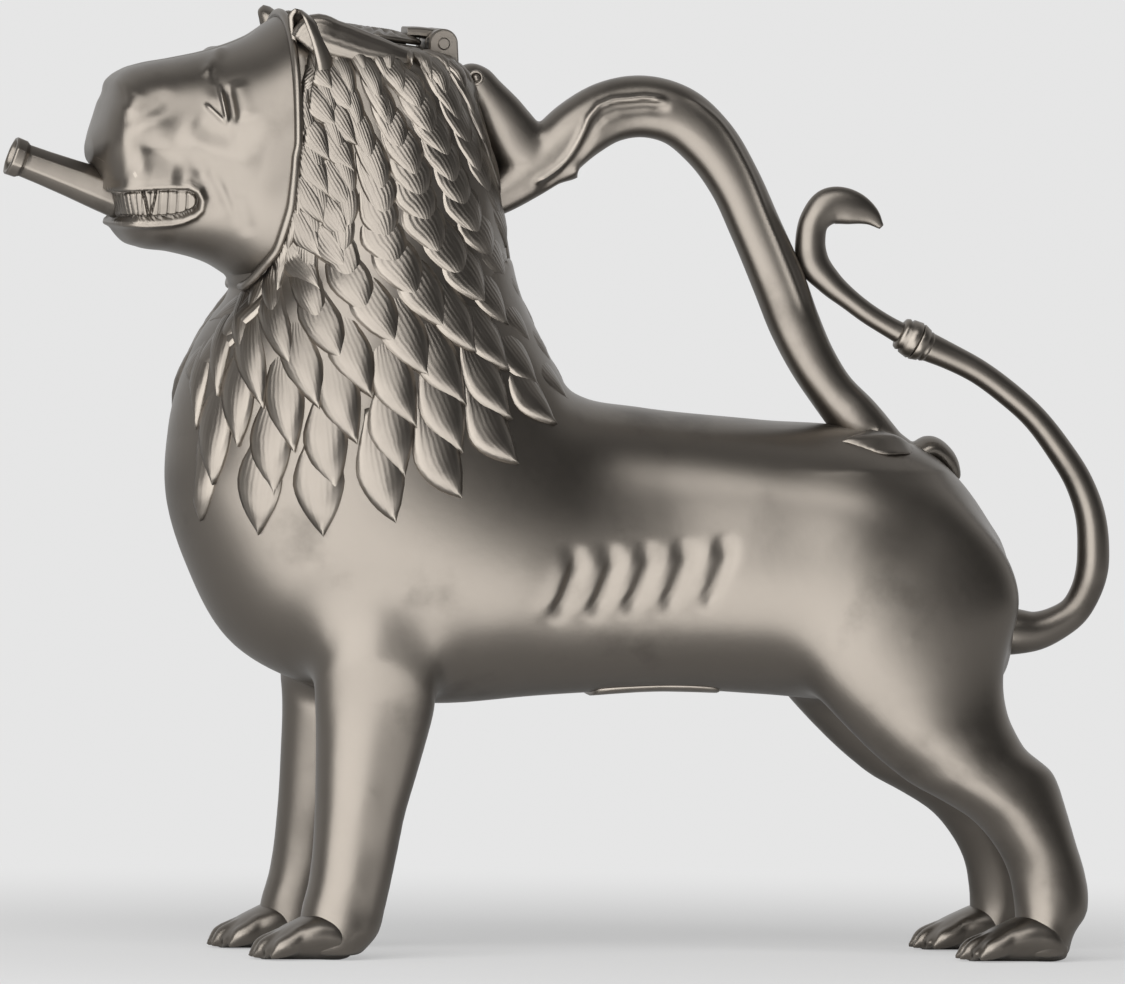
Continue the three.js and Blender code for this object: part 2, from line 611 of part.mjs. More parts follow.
// Spout
const spoutAxis = [Math.cos(radians(SPOUT_SLOPE)), -Math.sin(radians(SPOUT_SLOPE))];
const alongSpout = (distance) => SPOUT_TIP.map((v, i) => v + distance * spoutAxis[i]);
const SPOUT_SIDES = 8;
function spout() {
  const thick = SPOUT_TIP_RADIUS * 1.12;
  const tube = joined(
    bar(alongSpout(0), alongSpout(SPOUT_LIP_LENGTH), thick, thick, SPOUT_SIDES),
    bar(alongSpout(SPOUT_LIP_LENGTH / 2), alongSpout(SPOUT_LENGTH), SPOUT_TIP_RADIUS, SPOUT_ROOT_RADIUS, SPOUT_SIDES),
  );
  return cut(tube, bar(alongSpout(-1), alongSpout(SPOUT_LENGTH + 1), SPOUT_BORE_RADIUS));
}
const spoutHole = bar(
  alongSpout(10),
  alongSpout(SPOUT_LENGTH + 6),
  SPOUT_ROOT_RADIUS + JOINT_GAP,
  SPOUT_ROOT_RADIUS + JOINT_GAP,
  SPOUT_SIDES * 3,
);

// Handle: a dragon that bites the mane
// Rows of [x, z, half height, half width] from the forelegs on the nape, over the arch, to the rump.
const HANDLE_PATH = [
  [-34, 200, 5, 4.6],
  [-25, 202.6, 5.4, 5],
  [-17.6, 205.8, 5.8, 5.6],
  [-11, 210.4, 6.8, 6.4],
  [-4, 216.2, 8, 7.2],
  [4, 223.2, 8.4, 7.6],
  [12, 227.8, 8.4, 7.6],
  [21, 229.4, 8.4, 7.5],
  [31, 227, 8.2, 7.3],
  [39.6, 219.9, 7.8, 7],
  [46.9, 209.4, 7.1, 6.7],
  [52.7, 197.4, 7, 6.6],
  [59.9, 181.4, 7.2, 6.8],
  [64, 171.1, 7, 6.7],
  [69.6, 160.1, 6.5, 6.6],
  [74.5, 152.9, 6.3, 7],
  [81, 145.5, 7, 8.2],
  [90, 135, 7, 8],
];
const DRAGON_NECK = [
  [2, 217, 7.5, 6.4],
  [-4.5, 216.8, 7, 6.6],
  [-9.8, 219.6, 5.6, 6.4],
  [-14, 224.6, 5.4, 6.2],
  [-17.6, 229.2, 4.8, 5.8],
  [-21.4, 233, 4.4, 5.6],
  [-25.2, 235.6, 5.2, 5.4],
  [-29.5, 235.4, 3.4, 4.6],
  [-33, 233.6, 2, 3],
];
// The dragon's tail ends on the rump in three leaves: one on each flank and one to the rear.
const REAR_LEAF = [
  [86, 141, 3.6, 4],
  [92, 138.6, 3.4, 6.2],
  [98, 135.8, 3, 7],
  [101.5, 137.4, 3.6, 6.8],
  [105.4, 135.2, 3.4, 5.4],
  [108.2, 131.6, 2.6, 3.4],
  [110, 128.6, 1, 1.2],
];
function sideLeaf(side) {
  const rows = [
    [92, side * 5, 137, 3.4, 5, 0, 2],
    [87.4, side * 9.5, 138.3, 3.6, 7, 0, 2],
    [83.4, side * 13.4, 137.8, 3.1, 6, 0, 2],
    [78.4, side * 16, 137.7, 2, 3.6, 0, 2],
    [72.9, side * 17.5, 137.6, 0.8, 1, 0, 2],
  ];
  return solid(skin(ovals(rows, 8)));
}
const handleTenon = (grow) =>
  bar([HANDLE_FOOT[0] - 4, HANDLE_FOOT[1] + 8], [HANDLE_FOOT[0] + 8, HANDLE_FOOT[1] - 16], HANDLE_TENON_RADIUS + grow)
    .subtract(hollow);

function handle(keepOut) {
  const grip = joined(
    solid(rod(HANDLE_PATH, 10)),
    solid(rod(DRAGON_NECK, 10)),
    solid(rod(REAR_LEAF, 10)),
    sideLeaf(LEFT),
    sideLeaf(RIGHT),
  );
  return joined(mainBody(cut(grip, keepOut)), handleTenon(0));
}

// Tail, in two lengths that meet in the knop
const TAIL = [
  [116, 88.6, 6.2, 6.2],
  [TAIL_ROOT[0] + 3, TAIL_ROOT[1], 6.2, 6.1],
  [132.4, 88.1, 5.4, 5.3],
  [138.2, 90.3, 4.7, 4.7],
  [143.2, 94, 4.4, 4.4],
  [146.6, 99.4, 4.4, 4.4],
  [148, 106, 4.5, 4.4],
  [148, 113, 4.4, 4.3],
  [147.2, 120, 4.2, 4.1],
  [143.6, 131.2, 4, 3.9],
  [136.6, 142.4, 3.7, 3.6],
  [127.4, 151.4, 3.4, 3.4],
  [117, 158.6, 3.2, 3.2],
  [107, 163.2, 3.2, 3.2],
  [KNOP[0] + 1.5, KNOP[1] - 0.3, 4.4, 4.2],
];
const TAIL_TIP = [
  [KNOP[0] + 1.2, KNOP[1] - 0.2, 4.5, 4.3],
  [KNOP[0] - 0.8, KNOP[1] + 0.6, 5.1, 4.8],
  [KNOP[0] - 3.4, KNOP[1] + 2.2, 4.9, 4.5],
  [90, 170.4, 2.8, 2.8],
  [84.5, 173.7, 2.8, 2.8],
  [79.4, 177.4, 2.9, 2.9],
  [73.3, 182.5, 3.6, 3.4],
  [68.8, 188.2, 4.4, 3.7],
  [68.2, 193.6, 4.1, 3.6],
  [69.3, 198.9, 4.2, 3.4],
  [73, 202.6, 5, 3.2],
  [79.8, 202.4, 4.6, 2.6],
  [84.8, 200.2, 2.7, 1.6],
  [87.8, 197.3, 0.8, 0.6],
];
// The socket runs along the tail where it enters the knop.
const pegStart = [KNOP[0] + 3, KNOP[1] - 1];
const pegEnd = [KNOP[0] - TAIL_PEG_LENGTH * 0.9, KNOP[1] + TAIL_PEG_LENGTH * 0.42];
const tailPeg = (grow) => bar(pegStart, pegEnd, TAIL_PEG_RADIUS + grow);
const tailTenon = (grow) =>
  bar([TAIL_ROOT[0] + 4, TAIL_ROOT[1]], [TAIL_ROOT[0] - 14, TAIL_ROOT[1]], TAIL_TENON_RADIUS + grow).subtract(hollow);

// Everything on the rump's side of a plane across the knop, where the two lengths meet.
const knopSide = (shift) => {
  const [dx, dz] = [FAR * Math.sin(radians(KNOP_LEAN)), FAR * Math.cos(radians(KNOP_LEAN))];
  const [x, z] = [KNOP[0] + shift, KNOP[1]];
  const far = x + 2 * FAR;
  return across([[x + dx, z + dz], [x - dx, z - dz], [far, z - dz], [far, z + dz]], FAR);
};
const tailSkin = solid(rod(TAIL, 8));
const tipSkin = solid(rod(TAIL_TIP, 8));

// Plate in the belly
const PLATE_CENTRE = [26, 0];
function plateColumn(grow) {
  const [x, y] = PLATE_CENTRE;
  const [long, wide] = [PLATE_LENGTH / 2 + grow, PLATE_WIDTH / 2 + grow];
  return box([x - long, y - wide, 40], [x + long, y + wide, 100]);
}
const bellyPlate = bodyOuter.subtract(hollow).intersect(plateColumn(0));

// Assembly
const bodyCasting = cut(
  mainBody(cut(bodyOuter.intersect(bodySide), hollow)),
  ...legHoles,
  handleTenon(JOINT_GAP),
  tailTenon(JOINT_GAP),
  plateColumn(JOINT_GAP),
  ...RIB_LINES.flatMap((line) => sides.map((side) => ribGroove(line, side))),
);

// The chest, neck and crown as one, before the seams between them are cut.
function maneAndCrown() {
  const outside = joined(cut(joined(maneOuter, seat), behindBody, aheadOfMane), faceRidge(), ear(LEFT), ear(RIGHT));
  const shell = mainBody(cut(outside, behindBody, aheadOfMane, hollow, filler, lidRoom));
  const lugs = joined(hingeLug(LEFT), hingeLug(RIGHT)).subtract(hollow);
  return cut(joined(shell, lugs), knuckleRoom, lidArm(HINGE_GAP, 2 * HINGE_RADIUS), pinHole);
}
const crownSeam = fillerZ - CROWN_DEPTH;
const above = (height) => box([-FAR, -FAR, height], [FAR, FAR, FAR]);
const wholeMane = maneAndCrown();

function headCasting() {
  const shell = mainBody(cut(faceOuter.intersect(faceSide), hollow));
  const lipRim = cut(solid(swollen(head, LIP_RELIEF)).intersect(across(lipOutline, FAR)), solid(swollen(head, -WALL / 2)));
  const mouth = cut(across(MOUTH, FAR), underSkin(MOUTH_DEPTH), teeth());
  const sunk = [eyeSocket, nostril, noseGroove].flatMap((make) => sides.map(make));
  const proud = [eyeball, brow].flatMap((make) => sides.map(make)).map((made) => made.intersect(faceSide));
  return mainBody(cut(joined(cut(joined(shell, lipRim), ...sunk), ...proud), mouth, spoutHole));
}
const handlePiece = handle(joined(grownBody, grownMane));
const tipPiece = cut(
  mainBody(cut(tipSkin, knopSide(0), solid(swollen(rod(HANDLE_PATH, 10), JOINT_GAP)))),
  tailPeg(JOINT_GAP),
);
const tailPiece = joined(
  mainBody(cut(tailSkin.intersect(knopSide(JOINT_GAP)), grownBody)),
  tailTenon(0),
  tailPeg(0),
);

const pieces = {
  body_casting: bodyCasting,
  mane_casting: mainBody(wholeMane.subtract(above(NECK_SEAM))),
  neck_casting: mainBody(wholeMane.intersect(above(NECK_SEAM + JOINT_GAP)).subtract(above(crownSeam))),
  crown_casting: mainBody(wholeMane.intersect(above(crownSeam + JOINT_GAP))),
  head_casting: headCasting(),
  spout: spout(),
  lid: lid(),
  hinge_pin: hingePin,
  handle: handlePiece,
  tail: tailPiece,
  tail_tip: tipPiece,
  fore_leg_left: limb(FORE_LEG, FORE_PAW, shoulderTenon, LEFT),
  fore_leg_right: limb(FORE_LEG, FORE_PAW, shoulderTenon, RIGHT),
  hind_leg_left: limb(HIND_LEG, HIND_PAW, haunchTenon, LEFT),
  hind_leg_right: limb(HIND_LEG, HIND_PAW, haunchTenon, RIGHT),
  belly_plate: bellyPlate,
};

// A solid as a named mesh with its own material.
function mesh(name, made, look) {
  const { vertProperties, triVerts, numProp } = made.getMesh();
  const at = new Float32Array((vertProperties.length / numProp) * 3);
  for (let i = 0; i < at.length / 3; i++) at.set(vertProperties.subarray(i * numProp, i * numProp + 3), i * 3);
  const geometry = new THREE.BufferGeometry();
  geometry.setAttribute("position", new THREE.BufferAttribute(at, 3));
  geometry.setIndex(new THREE.BufferAttribute(new Uint32Array(triVerts), 1));
  geometry.computeVertexNormals();
  const made3d = new THREE.Mesh(geometry, new THREE.MeshStandardMaterial(look));
  made3d.name = name;
  return made3d;
}

const aquamanile = new THREE.Group();
for (const [name, made] of Object.entries(pieces)) {
  const look = name === "belly_plate" ? PALE_BRONZE : BRONZE;
  aquamanile.add(mesh(name, made, look));
}

// The origin lies on the floor, in the middle of the whole.
const bounds = new THREE.Box3().setFromObject(aquamanile);
const middle = bounds.getCenter(new THREE.Vector3());
for (const piece of aquamanile.children) piece.geometry.translate(-middle.x, -middle.y, -bounds.min.z);

export default aquamanile;
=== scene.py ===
"""A lion aquamanile: a hollow cast bronze water jug, dressed over its frame.

Lengths below are millimetres in the modelling frame: +X to the tail, +Y to the lion's right, +Z up,
and the paws stand on z = 0. place() turns them into metres in the row frame.
"""

import math

import bpy
import numpy as np
from mathutils import Matrix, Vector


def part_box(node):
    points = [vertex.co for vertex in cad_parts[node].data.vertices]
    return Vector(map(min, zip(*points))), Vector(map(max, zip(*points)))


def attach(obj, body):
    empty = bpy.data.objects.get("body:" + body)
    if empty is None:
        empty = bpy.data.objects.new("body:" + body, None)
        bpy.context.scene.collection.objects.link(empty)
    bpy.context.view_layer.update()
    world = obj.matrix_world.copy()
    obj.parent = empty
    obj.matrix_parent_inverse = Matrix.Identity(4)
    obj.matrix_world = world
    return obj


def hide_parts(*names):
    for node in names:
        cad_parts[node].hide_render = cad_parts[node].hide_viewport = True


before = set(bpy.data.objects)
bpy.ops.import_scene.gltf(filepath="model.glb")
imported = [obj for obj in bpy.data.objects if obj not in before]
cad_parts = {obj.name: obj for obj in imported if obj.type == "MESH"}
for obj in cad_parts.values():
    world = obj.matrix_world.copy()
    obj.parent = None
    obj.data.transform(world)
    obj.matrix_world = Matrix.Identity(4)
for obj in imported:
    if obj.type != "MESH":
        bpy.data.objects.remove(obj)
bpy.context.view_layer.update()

MM = 0.001
HINGE = np.array([-35.5, 0.0, 246.0])
pin_low, pin_high = (np.array(corner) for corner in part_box("hinge_pin"))
MODEL_SHIFT = np.array([(pin_low[0] + pin_high[0]) / 2 - HINGE[0] * MM, 0, 0])
random = np.random.default_rng(7)


def place(points):
    """Millimetres in the modelling frame as metres in the row frame."""
    return np.asarray(points, float) * MM + MODEL_SHIFT


# Shapes: points, quads and triangles held as whole arrays


class Shape:
    """Points in millimetres with the quads and triangles between them, and one UV place for each point."""

    def __init__(self, points, quads=None, tris=None, uv=None):
        self.points = np.asarray(points, float).reshape(-1, 3)
        self.quads = np.zeros((0, 4), int) if quads is None else np.asarray(quads, int).reshape(-1, 4)
        self.tris = np.zeros((0, 3), int) if tris is None else np.asarray(tris, int).reshape(-1, 3)
        self.uv = np.zeros((len(self.points), 2)) if uv is None else np.asarray(uv, float).reshape(-1, 2)

    def volume(self):
        """Six times the signed volume, from the triangles that split each quad."""
        quads = self.quads
        all_tris = np.concatenate([self.tris, quads[:, [0, 1, 2]], quads[:, [0, 2, 3]]])
        a, b, c = (self.points[all_tris[:, i]] for i in range(3))
        return float(np.einsum("ij,ij->i", a, np.cross(b, c)).sum())

    def facing_out(self):
        """The same shape with its faces turned to look outwards."""
        if self.volume() < 0:
            self.quads = self.quads[:, ::-1]
            self.tris = self.tris[:, ::-1]
        return self

    def mirrored(self):
        """The same shape on the lion's other side."""
        return Shape(self.points * [1, -1, 1], self.quads[:, ::-1], self.tris[:, ::-1], self.uv)


def together(*shapes):
    """Several shapes as one."""
    start = np.cumsum([0] + [len(s.points) for s in shapes[:-1]])
    return Shape(
        np.concatenate([s.points for s in shapes]),
        np.concatenate([s.quads + o for s, o in zip(shapes, start)]),
        np.concatenate([s.tris + o for s, o in zip(shapes, start)]),
        np.concatenate([s.uv for s in shapes]),
    )


def both_sides(shape):
    """A shape and its mirror image as one."""
    return together(shape, shape.mirrored())


def quads_between(index):
    """The quads of a grid of point numbers whose rows close on themselves."""
    after = np.roll(index, -1, axis=1)
    return np.stack([index[:-1], after[:-1], after[1:], index[1:]], -1).reshape(-1, 4)


def grid_uv(rings, sides):
    """A UV place for each point of a grid: u runs round its rings and v from the first ring to the last."""
    u, v = np.meshgrid(np.arange(sides) / sides, np.arange(rings) / max(rings - 1, 1))
    return np.stack([u, v], -1).reshape(-1, 2)


def skin(grid):
    """A closed skin over a grid of rings, with a fan of triangles on the first and the last ring."""
    rings, sides, _ = grid.shape
    index = np.arange(rings * sides).reshape(rings, sides)
    caps = [grid[0].mean(axis=0), grid[-1].mean(axis=0)]
    tris = []
    for row, cap, turn in ((index[0], rings * sides, 1), (index[-1], rings * sides + 1, -1)):
        fan = np.stack([np.full(sides, cap), np.roll(row, -1), row], -1)
        tris.append(fan[:, ::turn])
    uv = np.concatenate([grid_uv(rings, sides), [[0.5, 0], [0.5, 1]]])
    points = np.concatenate([grid.reshape(-1, 3), caps])
    return Shape(points, quads_between(index), np.concatenate(tris), uv).facing_out()


def hoop(grid):
    """A closed skin over a grid of rings whose last ring joins the first, as round a hole."""
    rings, sides, _ = grid.shape
    index = np.arange(rings * sides).reshape(rings, sides)
    return Shape(grid, quads_between(np.vstack([index, index[:1]])), uv=grid_uv(rings, sides)).facing_out()


def full_turn(sides):
    """Angles at even steps round a full turn, from 0."""
    return np.arange(sides) * 2 * math.pi / sides


def rounded(angle, power):
    """The cosine and the sine of an angle, each raised to a power and given its sign back."""
    c, s = np.cos(angle), np.sin(angle)
    return np.sign(c) * np.abs(c) ** power, np.sign(s) * np.abs(s) ** power


def unit(vectors):
    """Vectors brought to length 1. One of no length stays as it is."""
    return vectors / np.maximum(np.linalg.norm(vectors, axis=-1, keepdims=True), 1e-9)


def run_along(points):
    """How far along a broken line each of its points lies."""
    return np.r_[0, np.cumsum(np.linalg.norm(np.diff(points, axis=0), axis=1))]


def evenly_along(line, count):
    """A broken line read again at even distances along it."""
    run = run_along(line)
    even = np.linspace(0, run[-1], count)
    return np.stack([np.interp(even, run, line[:, i]) for i in range(3)], -1)


def smooth_rows(rows, steps):
    """Rows as smooth curves of the distance along their first three columns: cubic pieces whose slopes
    are the weighted means of their neighbours' slopes."""
    rows = np.asarray(rows, float)
    run = run_along(rows[:, :3])
    slope = np.gradient(rows, run, axis=0)
    at = np.linspace(0, 1, steps) * run[-1]
    k = np.clip(np.searchsorted(run, at, side="right") - 1, 0, len(run) - 2)
    gap = (run[k + 1] - run[k])[:, None]
    t = (at - run[k])[:, None] / gap
    start = (2 * t**3 - 3 * t**2 + 1) * rows[k] + (t**3 - 2 * t**2 + t) * gap * slope[k]
    return start + (3 * t**2 - 2 * t**3) * rows[k + 1] + (t**3 - t**2) * gap * slope[k + 1]


def ovals(rows, sides, turn=None):
    """Rings on rows of [x, y, z, half height, half width, lean, squareness]. A ring's point at the angle a is
    the centre + up * high * cos(a)^(2/n) + Y * wide * sin(a)^(2/n), with n the squareness and up leaning
    from +Z at 0 degrees to +X at 90."""
    rows = np.asarray(rows, float)
    lean = np.radians(rows[:, 5])
    high, wide = rounded(full_turn(sides) if turn is None else turn, 2 / rows[:, 6, None])
    high, wide = high * rows[:, 3, None], wide * rows[:, 4, None]
    x = rows[:, 0, None] + high * np.sin(lean)[:, None]
    z = rows[:, 2, None] + high * np.cos(lean)[:, None]
    return np.stack([x, rows[:, 1, None] + wide, z], -1)


def outward(grid):
    """Unit normals of a grid of rings, from the cross product of its steps along and around."""
    around = np.roll(grid, -1, axis=1) - np.roll(grid, 1, axis=1)
    normal = unit(np.cross(around, np.gradient(grid, axis=0)))
    return normal * np.sign(np.einsum("ijk,ijk->", normal, grid - grid.mean(axis=1, keepdims=True)))


def rod(rows, steps, sides, squareness=2.0):
    """Rows of [x, y, z, half height, half width] as one smooth rod, whose oval section stands square to its
    path in the side view."""
    path, high, wide = np.split(smooth_rows(rows, steps), [3, 4], axis=1)
    along = unit(np.gradient(path, axis=0))
    up = unit(np.cross(along, [0, 1, 0]))
    side = np.cross(up, along)
    c, s = rounded(full_turn(sides), 2 / squareness)
    return skin(path[:, None] + up[:, None] * (high * c)[..., None] + side[:, None] * (wide * s)[..., None])


def smoothstep(low, high, value):
    """0 at low, 1 at high and between them t^2 (3 - 2 t), with t the share of the way from low to high."""
    t = np.clip((value - low) / (high - low), 0, 1)
    return t * t * (3 - 2 * t)


# Distances to lines drawn in the side view


def nearest(points, others, size=4000):
    """The distance from each point to the closest of the others, worked out in slices."""
    points, others = points.astype(np.float32), others.astype(np.float32)
    square = (others**2).sum(axis=1)
    parts = []
    for start in range(0, len(points), size):
        p = points[start : start + size]
        gap = (square - 2 * p @ others.T).min(axis=1) + (p**2).sum(axis=1)
        parts.append(np.sqrt(np.maximum(gap, 0)))
    return np.concatenate(parts)


def from_both(points, chosen, first, second):
    """How far each chosen point is from the farther one of two clouds of points. The rest count as 99."""
    apart = np.full(len(points), 99.0)
    apart[chosen] = np.maximum(nearest(points[chosen], first), nearest(points[chosen], second))
    return apart


def along_line(points, line):
    """For each point of the side view, its distance to a broken line and how far along it lies, as a share
    of its length."""
    line = np.asarray(line, float)
    start, step = line[:-1], np.diff(line, axis=0)
    length = np.linalg.norm(step, axis=1)
    gap = points[..., None, :] - start
    share = np.clip((gap * step).sum(-1) / length**2, 0, 1)
    away = np.linalg.norm(gap - share[..., None] * step, axis=-1)
    best = away.argmin(axis=-1)
    run = np.r_[0, np.cumsum(length)]
    picked = np.take_along_axis(share, best[..., None], -1)[..., 0]
    reach = (run[best] + picked * length[best]) / run[-1]
    return np.take_along_axis(away, best[..., None], -1)[..., 0], reach


def inside(points, outline):
    """Whether each point lies in a closed outline, by counting the edges that a level ray crosses."""
    outline = np.asarray(outline, float)
    a, b = outline, np.roll(outline, -1, axis=0)
    x, z = points[..., 0, None], points[..., 1, None]
    spans = (a[:, 1] > z) != (b[:, 1] > z)
    rise = np.where(b[:, 1] == a[:, 1], 1e-9, b[:, 1] - a[:, 1])
    crosses = spans & (x < a[:, 0] + (z - a[:, 1]) * (b[:, 0] - a[:, 0]) / rise)
    return crosses.sum(axis=-1) % 2 == 1


def stroke(points, line, width, taper=0.25):
    """A soft line: 1 on the line, falling as a bell of the given width, and fading towards both ends."""
    away, reach = along_line(points, line)
    ends = smoothstep(0, taper, reach) * smoothstep(0, taper, 1 - reach) if taper else 1
    return np.exp(-((away / width) ** 2)) * ends


def mound(points, centre, long, high, tilt=0.0):
    """A soft bump: an oval bell round a place in the side view, turned by tilt degrees."""
    turn = math.radians(tilt)
    gap = points - np.asarray(centre, float)
    u = gap[..., 0] * math.cos(turn) + gap[..., 1] * math.sin(turn)
    v = gap[..., 1] * math.cos(turn) - gap[..., 0] * math.sin(turn)
    return np.exp(-((u / long) ** 2) - (v / high) ** 2)


# Finishes


class Value:
    """A number or colour that varies over a surface: a socket whose sums, differences and products add Math
    nodes."""

    def __init__(self, finish, socket):
        self.finish = finish
        self.socket = socket

    def _math(self, operation, *terms):
        return self.finish.node("ShaderNodeMath", {"operation": operation}, dict(enumerate(terms)))

    def __add__(self, other):
        return self._math("ADD", self, other)

    def __sub__(self, other):
        return self._math("SUBTRACT", self, other)

    def __rsub__(self, other):
        return self._math("SUBTRACT", other, self)

    def __mul__(self, other):
        return self._math("MULTIPLY", self, other)

    __radd__ = __add__
    __rmul__ = __mul__

    def clipped(self):
        """The value kept between 0 and 1."""
        return self.finish.node("ShaderNodeMath", {"operation": "ADD", "use_clamp": True}, {0: self, 1: 0.0})

    def above(self, low, high):
        """0 below low, 1 above high, and a smooth rise between them."""
        settings = {"interpolation_type": "SMOOTHSTEP"}
        return self.finish.node("ShaderNodeMapRange", settings, {0: self, 1: low, 2: high, 3: 0.0, 4: 1.0})


class Finish:
    """A metal finish: one principled shader and the nodes that vary its colour, roughness and relief."""

    def __init__(self, name):
        self.material = bpy.data.materials.new(name)
        self.material.use_nodes = True
        self.nodes = self.material.node_tree.nodes
        self.links = self.material.node_tree.links
        self.shader = self.nodes["Principled BSDF"]

    def node(self, kind, settings=None, sockets=None, output=0):
        """Any node: its settings first, then the values or links of its sockets."""
        made = self.nodes.new(kind)
        for key, value in (settings or {}).items():
            setattr(made, key, value)
        for key, value in (sockets or {}).items():
            if isinstance(value, Value):
                self.links.new(value.socket, made.inputs[key])
            else:
                made.inputs[key].default_value = value
        return Value(self, made.outputs[output])

    def feed(self, socket, value):
        """Links a value to a socket of the shader."""
        self.links.new(value.socket, self.shader.inputs[socket])

    def constants(self, **values):
        """Sets sockets of the shader by name, with _ for a space."""
        for key, value in values.items():
            self.shader.inputs[key.replace("_", " ")].default_value = value

    def place(self):
        """Object coordinates in metres."""
        return self.node("ShaderNodeTexCoord", output=3)

    def noise(self, where, scale, detail=4.0, roughness=0.55):
        """Cloudy noise from 0 to 1, with about scale waves to the metre."""
        sockets = {"Vector": where, "Scale": scale, "Detail": detail, "Roughness": roughness}
        return self.node("ShaderNodeTexNoise", {}, sockets)

    def mixed(self, share, first, second):
        """Two colours mixed by a share."""
        settings = {"data_type": "RGBA"}
        return self.node("ShaderNodeMix", settings, {0: share, 6: first, 7: second}, output=2)


BROWN_BRONZE = (0.166, 0.149, 0.130, 1)
# This dark bronze colour serves for real stains and also for painted shade in the hollows.
STAIN_AND_SHADE_BRONZE = (0.062, 0.055, 0.048, 1)
RUBBED_BRONZE = (0.265, 0.238, 0.207, 1)


def bronze(name, grain=1.0, hair=False, tint=1.0):
    """Dark satin bronze: brown with deeper stains, rubbed paler on edges, painted shade in its hollows and
    creases, fine file marks and casting pits.
    With hair, engraved lines run along each lock by the lock's own UV places."""
    made = Finish(name)
    where = made.place()
    cloud = made.noise(where, 38, 5)
    fine = made.noise(where, 420, 3)
    grit = made.noise(where, 1500, 2, 0.7)
    edges = made.node("ShaderNodeNewGeometry", output=7)
    rubbed = edges.above(0.505, 0.60) * 0.75
    # sunk marks the hollows and creases by Pointiness: painted shade goes there, and a little more roughness.
    sunk = 1 - edges.above(0.40, 0.495)
    base = tuple(c * tint for c in BROWN_BRONZE[:3]) + (1,)
    stained = made.mixed(cloud.above(0.52, 0.78) * 0.55, base, STAIN_AND_SHADE_BRONZE)
    worn = made.mixed((rubbed * (0.6 + fine * 0.6)).clipped(), stained, RUBBED_BRONZE)
    # Painted shade: the hollows are mixed most of the way to the dark bronze.
    made.feed("Base Color", made.mixed((sunk * 0.85).clipped(), worn, STAIN_AND_SHADE_BRONZE))
    made.feed("Roughness", 0.29 + cloud * 0.08 + fine * 0.05 + sunk * 0.12)
    relief = fine * 0.5 + grit * 0.25
    if hair:
        relief = relief + hair_lines(made) * 3.2
    bump = {"Strength": 0.22 * grain, "Distance": 0.00016, "Height": relief}
    made.feed("Normal", made.node("ShaderNodeBump", {}, bump))
    made.constants(Metallic=1.0)
    made.material.diffuse_color = BROWN_BRONZE
    return made.material


def hair_lines(made):
    """Fine engraved lines along a lock: a wave across it, broken by noise and deepest near its root."""
    places = made.node("ShaderNodeUVMap")
    split = made.node("ShaderNodeSeparateXYZ", {}, {0: places})
    along = Value(made, split.socket.node.outputs[1])
    wobble = made.noise(made.place(), 260, 2)
    wave = made.node("ShaderNodeMath", {"operation": "SINE"}, {0: (split * 105) + (wobble * 4)})
    height = made.node("ShaderNodeSeparateXYZ", {}, {0: made.place()}, output=2)
    return (wave * 0.5 + 0.5) * (1 - along.above(0.5, 0.98) * 0.8) * (0.22 + height.above(0.15, 0.2) * 0.6)


METAL = {
    "smooth": bronze("bronze_smooth"),
    "hair": bronze("bronze_engraved_hair", hair=True),
    "face": bronze("bronze_face", grain=0.8),
    "fitting": bronze("bronze_fittings", grain=0.7, tint=0.92),
    "plate": bronze("bronze_plate", tint=1.35),
}


def piece(name, shape, finish, *nodes, body="vessel", shade_smooth=True, slot="bronze"):
    """Puts a shape into the scene as an object that rides on a body and stands for its CAD nodes."""
    mesh = bpy.data.meshes.new(name)
    corners = np.concatenate([shape.quads.ravel(), shape.tris.ravel()]).astype(np.int32)
    sizes = np.r_[np.full(len(shape.quads), 4), np.full(len(shape.tris), 3)]
    mesh.vertices.add(len(shape.points))
    mesh.loops.add(len(corners))
    mesh.polygons.add(len(sizes))
    mesh.vertices.foreach_set("co", place(shape.points).astype(np.float32).ravel())
    mesh.loops.foreach_set("vertex_index", corners)
    mesh.polygons.foreach_set("loop_start", np.r_[0, np.cumsum(sizes)[:-1]].astype(np.int32))
    mesh.update(calc_edges=True)
    mesh.uv_layers.new(name="lock").data.foreach_set("uv", shape.uv[corners].astype(np.float32).ravel())
    mesh.polygons.foreach_set("use_smooth", np.full(len(sizes), shade_smooth))
    mesh.validate()
    made = bpy.data.objects.new(name, mesh)
    bpy.context.scene.collection.objects.link(made)
    mesh.materials.append(METAL[finish])
    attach(made, body)
    if nodes:
        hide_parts(*nodes)


def remeshed(shape, voxel):
    """Several closed skins that cut into each other as one skin, by voxels of the given size."""
    mesh = bpy.data.meshes.new("wax")
    faces = [tuple(f) for f in shape.quads.tolist()] + [tuple(f) for f in shape.tris.tolist()]
    mesh.from_pydata(shape.points.tolist(), [], faces)
    wax = bpy.data.objects.new("wax", mesh)
    bpy.context.scene.collection.objects.link(wax)
    remesh = wax.modifiers.new("remesh", "REMESH")
    remesh.mode = "VOXEL"
    remesh.voxel_size = voxel
    remesh.adaptivity = 0
    made = bpy.data.meshes.new_from_object(wax.evaluated_get(bpy.context.evaluated_depsgraph_get()))
    points = np.empty(len(made.vertices) * 3, np.float32)
    made.vertices.foreach_get("co", points)
    corners = np.empty(len(made.loops), np.int32)
    made.loops.foreach_get("vertex_index", corners)
    sizes = np.empty(len(made.polygons), np.int32)
    made.polygons.foreach_get("loop_total", sizes)
    starts = np.r_[0, np.cumsum(sizes)[:-1]]
    quads = corners[starts[sizes == 4][:, None] + np.arange(4)]
    tris = corners[starts[sizes == 3][:, None] + np.arange(3)]
    bpy.data.objects.remove(wax)
    bpy.data.meshes.remove(mesh)
    bpy.data.meshes.remove(made)
    return Shape(points.reshape(-1, 3), quads, tris)


